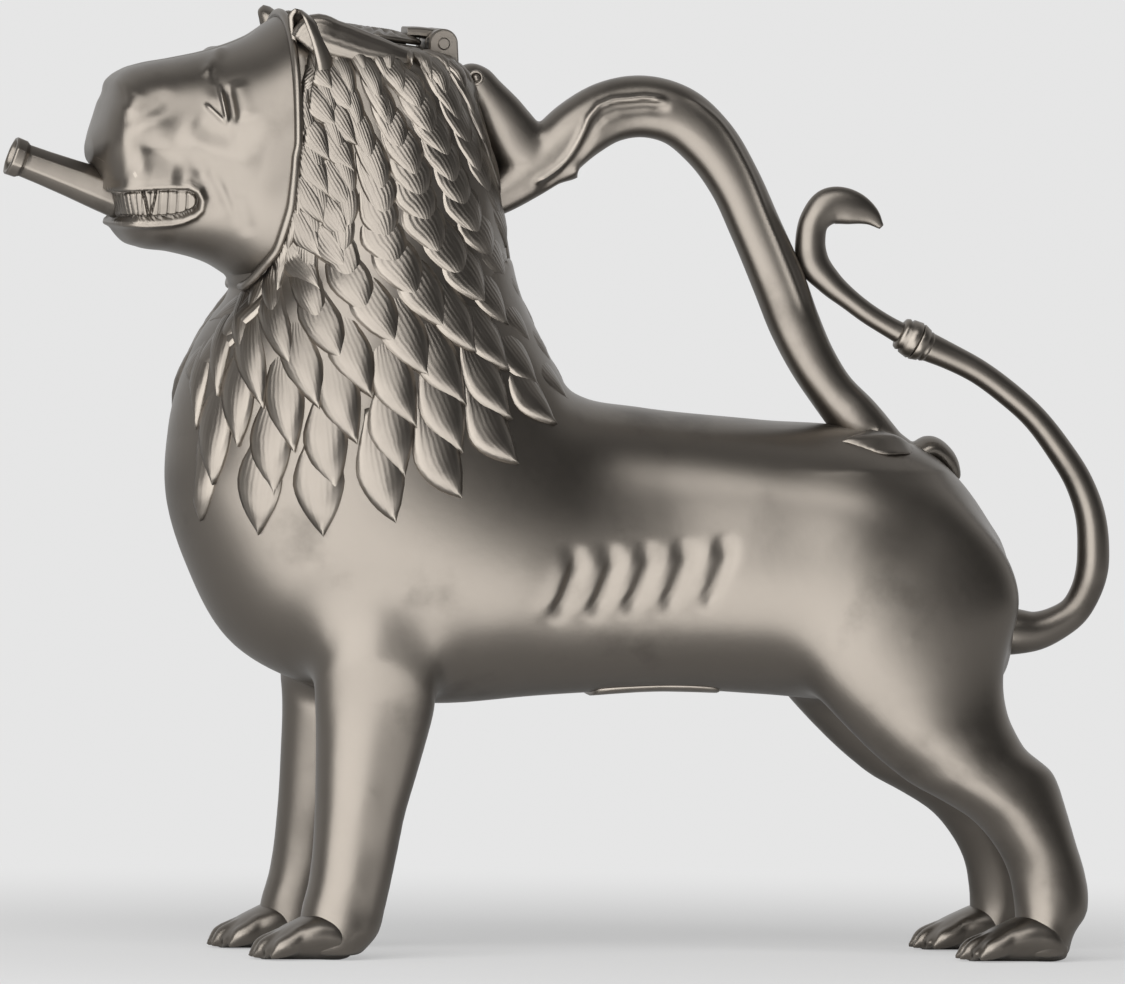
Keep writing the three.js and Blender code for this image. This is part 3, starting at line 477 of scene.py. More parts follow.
def relaxed(shape, rounds, weight=1.0):
    """Each point moved towards the mean of its neighbours, round after round. weight is 0 to 1 for each
    point."""
    corners = [shape.quads[:, i] for i in range(4)]
    start, end = np.concatenate(corners), np.concatenate(corners[1:] + corners[:1])
    start, end = np.concatenate([start, end]), np.concatenate([end, start])
    count = len(shape.points)
    degree = np.maximum(np.bincount(start, minlength=count), 1)
    weight = np.broadcast_to(weight, count)[:, None] * 0.8
    for _ in range(rounds):
        total = [np.bincount(start, shape.points[end, i], minlength=count) for i in range(3)]
        shape.points += weight * (np.stack(total, -1) / degree[:, None] - shape.points)
    return shape


def point_normals(shape):
    """Unit normals at the points, as the sum of the normals of the faces round each."""
    quads = shape.quads
    corner = shape.points[quads]
    face = np.cross(corner[:, 2] - corner[:, 0], corner[:, 3] - corner[:, 1])
    total = np.zeros_like(shape.points)
    for i in range(4):
        for axis in range(3):
            total[:, axis] += np.bincount(quads[:, i], face[:, axis], minlength=len(total))
    return unit(total)


# Body and legs

CHEST, NECK, BARREL, RUMP = 41, 31, 32.5, 29
TRUNK = np.array([
    [124.5, 0, 90, 7, 7, 0, 2],
    [122.5, 0, 92.5, 17, RUMP * 0.6, 0, 2],
    [117.5, 0, 95, 23.3, RUMP * 0.84, 0, 2.1],
    [105, 0, 101.3, 32.3, RUMP * 1.09, 0, 2.2],
    [83, 0, 105.5, 36.9, BARREL * 1.14, 0, 2.2],
    [55.4, 0, 107.8, 37.1, BARREL * 1.06, 0, 2.2],
    [22.3, 0, 109.8, 38.2, BARREL * 0.96, 0, 2.2],
    [-1.9, 0, 110, 41.3, BARREL * 1.02, 12, 2.2],
    [-16.9, 0, 110.5, 46.4, CHEST * 0.9, 23, 2.15],
    [-32, 0, 114.2, 53, CHEST * 0.96, 35, 2.1],
    [-47, 0, 123.4, 58.1, CHEST, 47, 2.05],
    [-54.6, 0, 136.4, 57.2, CHEST, 56, 2],
    [-59.1, 0, 149.2, 54.9, CHEST * 0.98, 63, 2],
    [-60, 0, 161.3, 51, CHEST * 0.93, 68, 2],
    [-59.6, 0, 172.1, 47.8, (CHEST + NECK) / 2, 69, 2],
    [-57.2, 0, 183.6, 44.2, NECK * 1.08, 69, 2],
    [-53.9, 0, 193.8, 39.4, NECK * 1.02, 68, 2],
    [-52.6, 0, 206, 35, NECK, 69, 2],
    [-53, 0, 219, 31, NECK * 0.96, 73, 2.1],
    [-52.5, 0, 230, 27.5, NECK * 0.88, 80, 2.2],
    [-52.5, 0, 239, 24, NECK * 0.74, 88, 2.3],
    [-53, 0, 244.5, 19, NECK * 0.55, 96, 2.3],
    [-54, 0, 246.5, 10, NECK * 0.27, 98, 2.2],
])
FORE_LEG = np.array([
    [-50, 108, 12, 8],
    [-53, 98, 19, 12.5],
    [-54.6, 84, 18, 13.5],
    [-54.8, 68, 16.3, 12],
    [-57, 52, 14.1, 10.5],
    [-59.3, 38, 12.2, 9.6],
    [-60.5, 29.5, 11.6, 9],
    [-62.2, 20, 11.2, 8.8],
    [-64.1, 12.5, 11.3, 8.7],
    [-65.2, 7, 10.8, 9],
    [-68, 1.2, 8.4, 9],
])
HIND_LEG = np.array([
    [86, 126, 18, 6],
    [88, 112, 30, 12],
    [90, 96, 33.5, 15],
    [89.2, 82, 29.7, 15.2],
    [91.8, 72, 26.8, 14.2],
    [95.9, 65, 23.9, 13.4],
    [99.5, 60.5, 22.5, 12.9],
    [102.5, 57, 21.7, 12.4],
    [106.1, 54, 21.9, 12],
    [109.2, 51.5, 21.9, 11.7],
    [112.5, 48, 20.5, 11.4],
    [118, 43, 16.6, 10.9],
    [122.8, 38, 13.3, 10.3],
    [126.4, 32, 11.4, 9.7],
    [129.5, 25, 10.5, 9],
    [131, 17, 10.2, 8.7],
    [130.9, 12.5, 9.7, 8.7],
    [129.3, 8, 8.1, 8.8],
    [128, 1.2, 7.3, 9],
])
PAW_SPREAD, SHOULDER_SPREAD, PAW_WIDTH = 30, 23.5, 20
LEFT, RIGHT = -1, 1


def leg(rows, side):
    """Level oval rings down a leg that leans outwards to its paw."""
    x, z, long, wide = rows.T
    spread = PAW_SPREAD + (SHOULDER_SPREAD - PAW_SPREAD) * np.minimum(z / 68, 1)
    full = np.stack([x, side * spread, z, long, wide, np.full(len(x), 90.0), np.full(len(x), 2.1)], -1)
    return skin(ovals(smooth_rows(full, 90), 48))


# The grooves between the ribs, each as points of the side view from the top down.
RIB_GROOVES = [
    [(-1.0, 112.5), (-2.2, 105), (-4.6, 97.5), (-9.0, 90.3)],
    [(9.0, 113), (8.0, 105.6), (5.6, 98), (1.2, 91)],
    [(19.0, 114), (18.0, 106.5), (15.4, 99), (10.8, 91.6)],
    [(29.0, 115), (28.0, 107.5), (25.6, 100), (21.6, 92)],
    [(39.8, 116), (38.8, 108.5), (36.4, 101), (32.4, 93.5)],
]


def body_and_legs():
    """The barrel with four legs grown out of it: the skins of all five as one, relaxed where they meet, then
    moved in along their normals at the grooves between the ribs and out beside them."""
    barrel = ovals(smooth_rows(TRUNK[:15], 150), 112)
    limbs = together(*[leg(rows, side) for rows in (FORE_LEG, HIND_LEG) for side in (LEFT, RIGHT)])
    made = remeshed(together(skin(barrel), limbs), 1.05)
    near_legs = made.points[:, 2] < 132
    apart = from_both(made.points, near_legs, barrel[::2, ::2].reshape(-1, 3), limbs.points[::3]) - 0.6
    reach = 9 + 7 * smoothstep(-20, 20, made.points[:, 0])
    made = relaxed(made, 3)
    made = relaxed(made, 70, 1 - smoothstep(2.5, reach, apart))
    side_view = made.points[:, [0, 2]]
    sunk = sum(stroke(side_view, line, 2.3, 0.3) for line in RIB_GROOVES)
    raised = sum(stroke(side_view + [3.8, 0], line, 2.8, 0.35) for line in RIB_GROOVES)
    flank = smoothstep(14, 22, np.abs(made.points[:, 1]))
    made.points += point_normals(made) * (flank * (0.7 * raised - 1.5 * sunk))[:, None]
    return made


# Neck, throat and crown: the ground that the locks stand on

WALL = 2.6
FILLER = np.array([-55.0, 0.0, 247.2])
CROWN_TILT = 7.5
HOLE_LONG, HOLE_WIDE = 12.0, 10.0
LID_REACH = 3.0  # past the edge of the filling hole
SEAT_TOP = -0.3
NAPE_SUNK = 1.3  # how far the ground lies in under the locks of the nape


def on_crown(points):
    """Points drawn level round the middle of the filling hole, tilted with the crown and set in place."""
    x, y, z = np.moveaxis(np.asarray(points, float), -1, 0)
    c, s = math.cos(math.radians(CROWN_TILT)), math.sin(math.radians(CROWN_TILT))
    return np.stack([x * c + z * s, y, z * c - x * s], -1) + FILLER


def round_hole(rows, sides):
    """Level oval rings round the filling hole, on rows of [height, reach past the edge of the hole]."""
    height, reach = np.asarray(rows, float).T[:, :, None]
    return level_ovals(height, HOLE_LONG + reach, HOLE_WIDE + reach, sides)


def level_ovals(height, long, wide, sides):
    """Level oval rings of the given half lengths and half widths, set on the crown."""
    x, y = long * np.cos(full_turn(sides)), wide * np.sin(full_turn(sides))
    return on_crown(np.stack([x, y, np.broadcast_to(height, x.shape)], -1))


LIPS, CHEEK = 21.5, 29
HEAD = np.array([
    [-130.6, 0, 216.4, 3.2, LIPS * 0.3, 0, 2.2],
    [-129.6, 0, 217, 5, LIPS * 0.46, 0, 2.3],
    [-128.5, 0, 217.5, 7.3, LIPS * 0.62, 0, 2.4],
    [-127, 0, 218.1, 11.6, LIPS * 0.76, 0, 2.5],
    [-125.5, 0, 217.9, 16.4, LIPS * 0.86, 0, 2.6],
    [-124, 0, 216.5, 20, LIPS * 0.93, 0, 2.7],
    [-121, 0, 215.3, 23.2, LIPS * 0.985, 0, 2.7],
    [-117, 0, 215.1, 24.7, LIPS, 0, 2.7],
    [-108.7, 0, 215.3, 26.1, LIPS * 1.04, 0, 2.6],
    [-98, 0, 215, 28.8, LIPS * 1.16, 0, 2.4],
    [-88, 0, 214, 33.5, CHEEK * 0.95, 0, 2.3],
    [-78, 0, 215.9, 37.4, CHEEK, 0, 2.2],
    [-66, 0, 213, 37, CHEEK, 0, 2.1],
])
CHEEK_ROW = 11


def behind_cheeks(points):
    """Points of the neck with their sides moved out level to the flat wall that runs from the cheeks back to
    the middle of the neck: half a millimetre within the head's oval there, faded out in front of it."""
    x, y, z = np.moveaxis(points, -1, 0)
    _, _, middle, high, wide, _, power = HEAD[CHEEK_ROW]
    share = np.clip(1 - (np.abs(z - middle) / high) ** power, 0, 1)
    wall = (wide - 0.5) * share ** (1 / power) * smoothstep(-92, -82, x) * (1 - smoothstep(-56, -50, x))
    past = wall - np.abs(y)
    moved = np.abs(y) + 0.5 * (past + np.sqrt(past**2 + 6.0)) * smoothstep(-6, 2, past)
    return np.stack([x, np.where(y < 0, -moved, moved), z], -1)


def neck_ground():
    """The hollow neck: rings up the outside from the chest to the crown, in through the filling hole and down
    the inside, joined to a plain core of the head. Relaxed where the jaw meets the throat."""
    outside = smooth_rows(TRUNK[10:21], 90)
    outside[:, 3:5] += (1.1 * smoothstep(14, 34, np.arange(90.0)) - 0.9)[:, None]
    inside_rows = smooth_rows(TRUNK[10:20], 60)[::-1]
    inside_rows[:, 3:5] -= WALL
    sides = 96
    # A level oval starts towards the tail, and a leaning ring starts at its nape, which is the same way.
    outer_rings = behind_cheeks(ovals(outside, sides))
    outer_rings[:80, :, 0] -= NAPE_SUNK * smoothstep(0.72, 0.96, np.cos(full_turn(sides)))
    top = round_hole([[-1.0, 5.5], [SEAT_TOP, 3.5], [SEAT_TOP, 0], [-7, 0]], sides)
    grid = np.concatenate([outer_rings, top, ovals(inside_rows, sides)])
    core = smooth_rows(HEAD[: CHEEK_ROW + 1], 70)
    core = ovals(core[core[:, 0] < -82.5][::2], 72)
    core = core - outward(core) * (0.25 + 3.0 * smoothstep(190, 197, core[..., 2]))[..., None]
    made = remeshed(together(hoop(grid), skin(core)), 1.1)
    near_throat = (made.points[:, 2] < 197) & (made.points[:, 0] < -80)
    apart = from_both(made.points, near_throat, grid.reshape(-1, 3), core.reshape(-1, 3))
    throat = smoothstep(196, 190, made.points[:, 2]) * smoothstep(-84, -88, made.points[:, 0])
    made = relaxed(made, 3)
    return relaxed(made, 60, (1 - smoothstep(2, 8, apart)) * throat)


# Face

MOUTH = [
    (-142, 205.0), (-128.9, 205.3), (-120.8, 206.0), (-112.9, 206.5), (-107.6, 206.5), (-105.3, 205.3),
    (-104.4, 203.5), (-104.6, 201.6), (-105.8, 200.3), (-108.5, 199.0), (-111.1, 198.4), (-117.4, 197.9),
    (-122.6, 198.0), (-142, 198.2),
]
FANG = [(-119.5, 206.5), (-117.2, 198.3), (-115.9, 206.5)]
TOOTH_PITCH = 2.4
# Lines of the face in the side view: points, width, height. A height below zero is a groove.
FACE_LINES = [
    ([(-103.5, 230.0), (-100.4, 227.0), (-97.3, 224.0)], 0.6, 0.75),
    ([(-99.1, 235.3), (-98.2, 229.6), (-97.3, 224.0)], 0.6, 0.875),
    ([(-96.6, 235.4), (-95.9, 229.6), (-95.2, 223.8)], 1.0, -0.75),
    ([(-95.0, 236.4), (-93.4, 230.6), (-92.0, 224.8)], 2.5, 0.625),
    ([(-94.0, 246.2), (-98.2, 241.8), (-103.4, 236.8)], 1.1, 0.75),
    ([(-96.9, 243.4), (-99.9, 239.6), (-100.2, 234.6)], 1.0, -0.35),
    ([(-107.0, 225.4), (-101.4, 221.5), (-94.4, 220.8)], 3.0, -0.425),
    ([(-105.9, 214.2), (-101.7, 206.7), (-98.1, 199.0)], 2.0, -0.4625),
    ([(-103.2, 214.0), (-98.6, 206.0), (-95.0, 198.0)], 1.25, 0.1875),
    ([(-98.6, 211.0), (-95.6, 203.6), (-93.4, 196.0)], 1.12, -0.2375),
    ([(-94.6, 206.5), (-92.2, 200.1), (-90.2, 193.7)], 1.88, -0.35),
    ([(-111.0, 221.4), (-103.8, 217.9), (-95.6, 215.0), (-88.0, 213.0)], 4.0, 0.7),
    ([(-123.6, 212.4), (-117.0, 210.2), (-108.6, 209.2)], 3.25, 0.7),
    ([(-127.2, 235.4), (-123.2, 234.6), (-120.9, 231.6), (-122.2, 228.3), (-126.4, 226.6)], 1.62, 0.2375),
    ([(-128.4, 224.4), (-122.0, 224.8), (-116.4, 228.4), (-111.6, 233.6)], 2.25, -0.35),
]
# Soft bumps and hollows of the face: middle, half length, half height, tilt, height.
FACE_MOUNDS = [
    ((-100.2, 230.2), 2.6, 3.2, 30, 0.6615),
    ((-100.2, 230.6), 6.5, 7.5, 20, -0.8505),
    ((-125.0, 231.2), 1.6, 1.9, 0, -0.567),
    ((-126.4, 218.8), 3.6, 4.2, 0, 0.4725),
    ((-117.0, 224.4), 5.6, 3.2, 10, 0.8505),
    ((-116.0, 216.9), 5.0, 2.5, -12, -0.8505),
    ((-104.4, 212.6), 2.6, 3.4, 30, -0.4725),
    ((-90.0, 222.0), 6.0, 9.0, 0, 0.4725),
    ((-88.0, 203.0), 5.0, 8.0, 10, 0.378),
]


def girth(points):
    """How far round the muzzle a point lies, from the middle of its side forwards to the middle of its front:
    straight along the side, round a corner of 9 mm and straight across."""
    x, y, corner, flat = points[..., 0] + 118, np.abs(points[..., 1]), 9, 12
    bend = corner * np.arctan2(-x, np.maximum(y - flat, 1e-3))
    return np.where(x > 0, -x, np.where(y > flat, bend, corner * math.pi / 2 + flat - y))


def mouth_relief(side_view, points):
    """The open mouth: a slot sunk 2.6 mm with teeth that stand 1.7 mm out of its gums in one row, the long
    fang over two of them, a rounded lip round its corner and along the jaw, and an overhanging upper lip."""
    outline = np.array(MOUTH)
    away, _ = along_line(side_view, np.vstack([outline, outline[:1]]))
    within = inside(side_view, outline)
    deep = np.where(within, away, 0)
    share = (girth(points) / TOOTH_PITCH + 0.35) % 1
    tooth = 1 - np.abs(2 * share - 1) ** 7
    fang_away, _ = along_line(side_view, np.vstack([FANG, FANG[:1]]))
    in_fang = inside(side_view, FANG)
    fang = np.where(in_fang, smoothstep(0, 0.45, fang_away), 0)
    round_fang = np.where(in_fang, 0, smoothstep(0.55, 0, fang_away))
    teeth = smoothstep(0.25, 0.9, deep) * (1.0 + 0.7 * tooth) * (1 - round_fang)
    teeth += 0.8 * fang * smoothstep(0, 0.4, deep)
    slot = -2.6 * smoothstep(0, 0.45, deep) + teeth
    out = np.where(within, 9.0, away)
    x, z = np.moveaxis(side_view, -1, 0)
    low_or_back = np.maximum(smoothstep(203, 200, z), smoothstep(-108.5, -105.5, x))
    lip = 1.05 * np.exp(-(((out - 1.05) / 0.95) ** 2)) * low_or_back
    brim = 0.8 * np.exp(-(((out - 0.9) / 1.5) ** 2)) * (1 - low_or_back)
    return slot + lip + brim


def face():
    """The head from the muzzle to behind the cheeks: oval rings along X moved out or in along their normals
    by the mouth, the lines and the mounds of the face, and sunk under the locks behind the cord."""
    rows = smooth_rows(HEAD, 236)
    grid = ovals(rows[rows[:, 0] < -71], 372)
    normal = outward(grid)
    behind_cord = smoothstep(-78.6, -77.4, grid[..., 0]) * smoothstep(246, 238, grid[..., 2])
    grid = grid - 1.6 * normal * behind_cord[..., None]
    side_view = grid[..., [0, 2]]
    x, y, z = np.moveaxis(grid, -1, 0)
    height = mouth_relief(side_view, grid)
    height += sum(tall * stroke(side_view, line, width) for line, width, tall in FACE_LINES)
    height += sum(tall * mound(side_view, *place_and_size) for *place_and_size, tall in FACE_MOUNDS)
    height *= 1 - smoothstep(232, 238, z) * (1 - smoothstep(3, 8, np.abs(y)))
    middle_groove = np.exp(-((y / 1.6) ** 2)) * smoothstep(236, 242, z)
    height -= 0.5 * middle_groove * smoothstep(-126, -116, x) * smoothstep(-84, -92, x)
    return skin(grid + normal * height[..., None])


# The mane

MERIDIANS, LEVELS = 121, 241
FIRST_MANE_ROW = 7
MANE_EDGE_ROWS = 0.55, 5.0  # the mane's lower edge at the nape and at the throat, in rows from that one


def evenly_round(grid, count):
    """Each ring of a grid read again at even distances along it."""
    return np.array([evenly_along(ring, count) for ring in grid])


def mane_field():
    """The ground under the locks as a table of points: level by level from the mane's lower edge to the crown
    at even distances, and from the nape to the throat. One side only; the other is its mirror image."""
    trunk = TRUNK[FIRST_MANE_ROW:]
    rows = smooth_rows(trunk, 441)
    run = run_along(trunk[:, :3])
    row_number = np.interp(np.linspace(0, run[-1], 441), run, np.arange(len(trunk)))
    dense = evenly_round(behind_cheeks(ovals(rows, 0, np.linspace(0, math.pi, 721))), MERIDIANS)
    lowest = np.linspace(*MANE_EDGE_ROWS, MERIDIANS)
    return np.stack([evenly_along(dense[row_number >= lowest[i], i], LEVELS) for i in range(MERIDIANS)], 1)


MANE = mane_field()
MANE_NORMAL = unit(np.cross(np.gradient(MANE, axis=0), np.gradient(MANE, axis=1)))
MANE_NORMAL *= np.sign(MANE_NORMAL[:, MERIDIANS // 2, 1].mean())
MANE_NORMAL[:, [0, -1], 1] = 0
# The ground is moved in a little at the throat, and at the nape.
round_neck = np.linspace(0, math.pi, MERIDIANS)
moved_in = 0.7 * smoothstep(2.5, 3.1, round_neck) + NAPE_SUNK * smoothstep(0.9, 0.3, round_neck)
MANE -= MANE_NORMAL * moved_in[:, None]


def lock_lean(x, z):
    """How far a lock's tip leans to the tail in the side view, in degrees: upright on the chest, more to the
    flank, and a steep slant on the neck."""
    low = np.interp(x, [-96, -84, -73, -56, -47, -35, -22, -10], [-4, -1, 7, 11, 14, 23, 29, 34])
    high = 33 * smoothstep(-97, -84, x)
    return low + (high - low) * smoothstep(138, 178, z)


def mane_steer():
    """How fast a lock's line turns round the mane as it rises, so that its tip leans as lock_lean says. With
    P the ground, l the level and t the turn, dP/dl + s dP/dt lies along the wanted line in the side view."""
    along = np.gradient(MANE, axis=0) * (LEVELS - 1)
    around = np.gradient(MANE, axis=1) * (MERIDIANS - 1) / math.pi
    lean = np.radians(lock_lean(MANE[..., 0], MANE[..., 2]))
    x, z = -np.sin(lean), np.cos(lean)
    off = along[..., 0] * z - along[..., 2] * x
    turned = around[..., 0] * z - around[..., 2] * x
    return (-off * turned / (turned**2 + 14.0**2))[..., None] * np.ones(3)


MANE_STEER = mane_steer()


def on_mane(level, turn, table):
    """A table of the mane read at a level from 0 to 1 and at an angle from 0, the nape, to pi, the throat.
    Below 0 and past pi the angle is on the other side, where Y changes its sign."""
    turn = (turn + math.pi) % (2 * math.pi) - math.pi
    side = np.where(turn < 0, -1.0, 1.0)
    u = np.clip(np.abs(turn) / math.pi * (MERIDIANS - 1), 0, MERIDIANS - 1.001)
    v = np.clip(level * (LEVELS - 1), 0, LEVELS - 1.001)
    i, j = v.astype(int), u.astype(int)
    a, b = (v - i)[..., None], (u - j)[..., None]
    low = table[i, j] * (1 - b) + table[i, j + 1] * b
    high = table[i + 1, j] * (1 - b) + table[i + 1, j + 1] * b
    made = low * (1 - a) + high * a
    return made * np.stack([np.ones_like(side), side, np.ones_like(side)], -1)


# The cord round the face, as points of the side view from over the crown to the middle of the throat.
CORD_LINE = np.array([
    (-78.4, 270), (-78.8, 240), (-79.3, 231.6), (-79.6, 213), (-80.4, 202.1), (-83, 190.7), (-87.5, 183.5),
    (-92.5, 176.8), (-98.2, 170), (-104, 163),
])
CORD_HIGH, CORD_WIDE, CORD_END = 1.5, 1.15, 168.6
LOCK_COLUMNS, LOCK_ROWS = 18, 15
# Across a lock: over it from one edge, number 0, to the other, number 8, and back underneath.
ACROSS = np.array([-1, -0.93, -0.62, -0.3, 0, 0.3, 0.62, 0.93, 1, 0.62, 0, -0.62])
# How deep a lock's edges, its underside and its hidden parts lie in the ground.
EDGE_SUNK, UNDERSIDE, BURIED = 0.9, 1.3, 1.4
LID_CLEARANCE = [16.4, 14.4]


def cord_x(z):
    """The X of the cord round the face at a height."""
    return np.interp(z, CORD_LINE[::-1, 1], CORD_LINE[::-1, 0])


def behind_face(points):
    """How far each point lies behind the cord round the face, in millimetres along X."""
    return points[..., 0] - cord_x(points[..., 2])


def leaf_width(v, root, widest):
    """A lock's width along it, as a share of the widest: a smooth rise from its root, then a fall to a point
    as 1 - t^1.6."""
    fall = 1 - np.clip((v - widest) / (1 - widest), 0, 1) ** 1.6
    return np.where(v < widest, root + (1 - root) * smoothstep(0, widest, v), fall) + 0.012


def leaf_height(ridge):
    """A lock's heights across it, from those along its ridge: they fall as 1 - |u|^2.2 and drop at its
    edges."""
    height = ridge[:, None] * (0.26 + 0.74 * (1 - np.abs(ACROSS) ** 2.2))
    height[:, [0, 8]] = -EDGE_SUNK
    height[:, 9:] = -UNDERSIDE
    return height


def lock(level, turn, length, half, tall, curl):
    """One lock: a pointed leaf on the ground of the mane. Along it the leaf rises from its root, swells at
    two thirds and thins to its tip. It stays in the ground in front of the cord and round the lid."""
    v = np.linspace(0, 1, 14)
    width = leaf_width(v, 0.42, 0.52)
    rise = (0.04 + 0.96 * smoothstep(0.12, 0.74, v)) * (1 - 0.42 * smoothstep(0.76, 1, v))
    steer = on_mane(np.array([level + 0.4 * length]), np.array([turn]), MANE_STEER)[0, 0]
    bend = curl * (0.16 * np.sin(2 * np.pi * v))
    side = -1.0 if turn < 0 else 1.0
    angle = turn + side * (steer * length * (1 - v) + bend)[:, None] + half * width[:, None] * ACROSS
    steps = np.broadcast_to((level + length * (1 - v))[:, None], angle.shape)
    height = leaf_height(tall * rise)
    ground = on_mane(steps, angle, MANE)
    from_lid = np.linalg.norm((ground - FILLER)[..., :2] / LID_CLEARANCE, axis=-1)
    shown = smoothstep(-0.4, 1.6, behind_face(ground)) * smoothstep(1.0, 1.16, from_lid)
    height = np.minimum(height, -BURIED + (height + BURIED) * shown)
    return skin(ground + on_mane(steps, angle, MANE_NORMAL) * height[..., None])


def found_on_mane(side_view):
    """The level and turn of points given in the side view: the closest point of the table, then six steps of
    Newton's method on the table's own slopes."""
    rows, columns = np.arange(20, LEVELS - 6, 4), np.arange(22, MERIDIANS - 18, 3)
    near = MANE[np.ix_(rows, columns)]
    gap = ((near[..., [0, 2]][None, None] - side_view[:, :, None, None]) ** 2).sum(-1)
    best = gap.reshape(*side_view.shape[:2], -1).argmin(-1)
    row, column = np.unravel_index(best, near.shape[:2])
    level, turn = rows[row] / (LEVELS - 1), columns[column] / (MERIDIANS - 1) * math.pi
    step = 0.004
    for _ in range(6):
        here = on_mane(level, turn, MANE)[..., [0, 2]]
        up = (on_mane(level + step, turn, MANE)[..., [0, 2]] - here) / step
        on = (on_mane(level, turn + step, MANE)[..., [0, 2]] - here) / step
        off = side_view - here
        area = up[..., 0] * on[..., 1] - up[..., 1] * on[..., 0]
        area = np.where(np.abs(area) < 60, 60 * np.sign(area + 1e-9), area)
        level = level + np.clip((off[..., 0] * on[..., 1] - off[..., 1] * on[..., 0]) / area, -0.05, 0.05)
        turn = turn + np.clip((up[..., 0] * off[..., 1] - up[..., 1] * off[..., 0]) / area, -0.1, 0.1)
        level, turn = np.clip(level, 0.02, 0.99), np.clip(turn, 0.2, 3.0)
    return level, turn


def cord_lock(root, lean, length, half, tall):
    """A strand that comes out from under the cord: drawn in the side view from its root down to its tip and
    laid on the ground of the mane."""
    v = np.linspace(0, 1, 13)
    turned = np.radians(lean + 9 * (v - 0.4))
    down = np.stack([np.sin(turned), -np.cos(turned)], -1)
    line = root + np.cumsum(down, axis=0) * length / len(v)
    across = np.stack([down[:, 1], -down[:, 0]], -1)
    width = half * leaf_width(v, 0.7, 0.5)
    grid = line[:, None] + across[:, None] * (width[:, None] * ACROSS)[..., None]
    height = leaf_height(tall * (0.5 + 0.5 * smoothstep(0, 0.6, v)))
    height *= (1 - 0.4 * smoothstep(0.78, 1, v))[:, None]
    level, turn = found_on_mane(grid)
    return skin(on_mane(level, turn, MANE) + on_mane(level, turn, MANE_NORMAL) * height[..., None])


def cord_locks():
    """The strands behind the cord, from the ear down to the jaw, in two staggered rows."""
    made = []
    for row, (back, start) in enumerate(((7.0, 242.0), (0.4, 246.0))):
        for z in np.arange(start, 194, -8.6):
            loose = random.normal(0, 1, 3)
            root = np.array([cord_x(z) + back, z])
            tall = 1.5 + 0.1 * loose[2] + 0.25 * row
            made.append(cord_lock(root, 31 + 2 * loose[0], 17 + 0.6 * loose[1], 4.3, tall))
    return both_sides(together(*made))


def mane_locks():
    """All the locks: staggered rows from the lower edge of the mane to the crown, smaller towards the top."""
    gaps = np.linspace(11, 6.5, LOCK_ROWS)
    tips = np.r_[0, np.cumsum(gaps)] / gaps.sum()
    pitch = 2 * math.pi / LOCK_COLUMNS
    made = []
    for row, level in enumerate(tips[:-1]):
        for column in range(LOCK_COLUMNS):
            turn = (column + 0.5 * (row % 2)) * pitch
            turn = (turn + math.pi) % (2 * math.pi) - math.pi
            loose = random.normal(0, 1, 4)
            middle = on_mane(np.array([level + 0.04]), np.array([turn]), MANE)
            if behind_face(middle)[0] < -1.5:
                continue
            overlap = 2.7 + 0.5 * smoothstep(0.2, 0.6, level) + 0.05 * loose[0]
            slim = 0.40 + 0.14 * smoothstep(0.15, 0.45, level) + 0.01 * loose[1]
            tall = 2.6 - 1.2 * smoothstep(0.05, 0.6, level) + 0.1 * loose[2]
            tall *= 1 - 0.25 * smoothstep(2.6, 3.1, abs(turn))
            tall *= 1 - 0.3 * smoothstep(0.8, 0.2, abs(turn))
            curl = pitch * 0.5 * smoothstep(0.25, 0.5, level)
            length = (tips[row + 1] - level) * overlap
            made.append(lock(level, turn + 0.01 * loose[3], length, slim * pitch, tall, curl))
    return together(*made)


def crossing(grid):
    """Where the rings of a skin cross the line of the cord, as points from ring to ring."""
    gap = behind_face(grid)
    change = (gap[:, :-1] > 0) & (gap[:, 1:] <= 0)
    ring = np.flatnonzero(change.any(axis=1))
    at = change[ring].argmax(axis=1)
    share = (gap[ring, at] / (gap[ring, at] - gap[ring, at + 1]))[:, None]
    return grid[ring, at] * (1 - share) + grid[ring, at + 1] * share


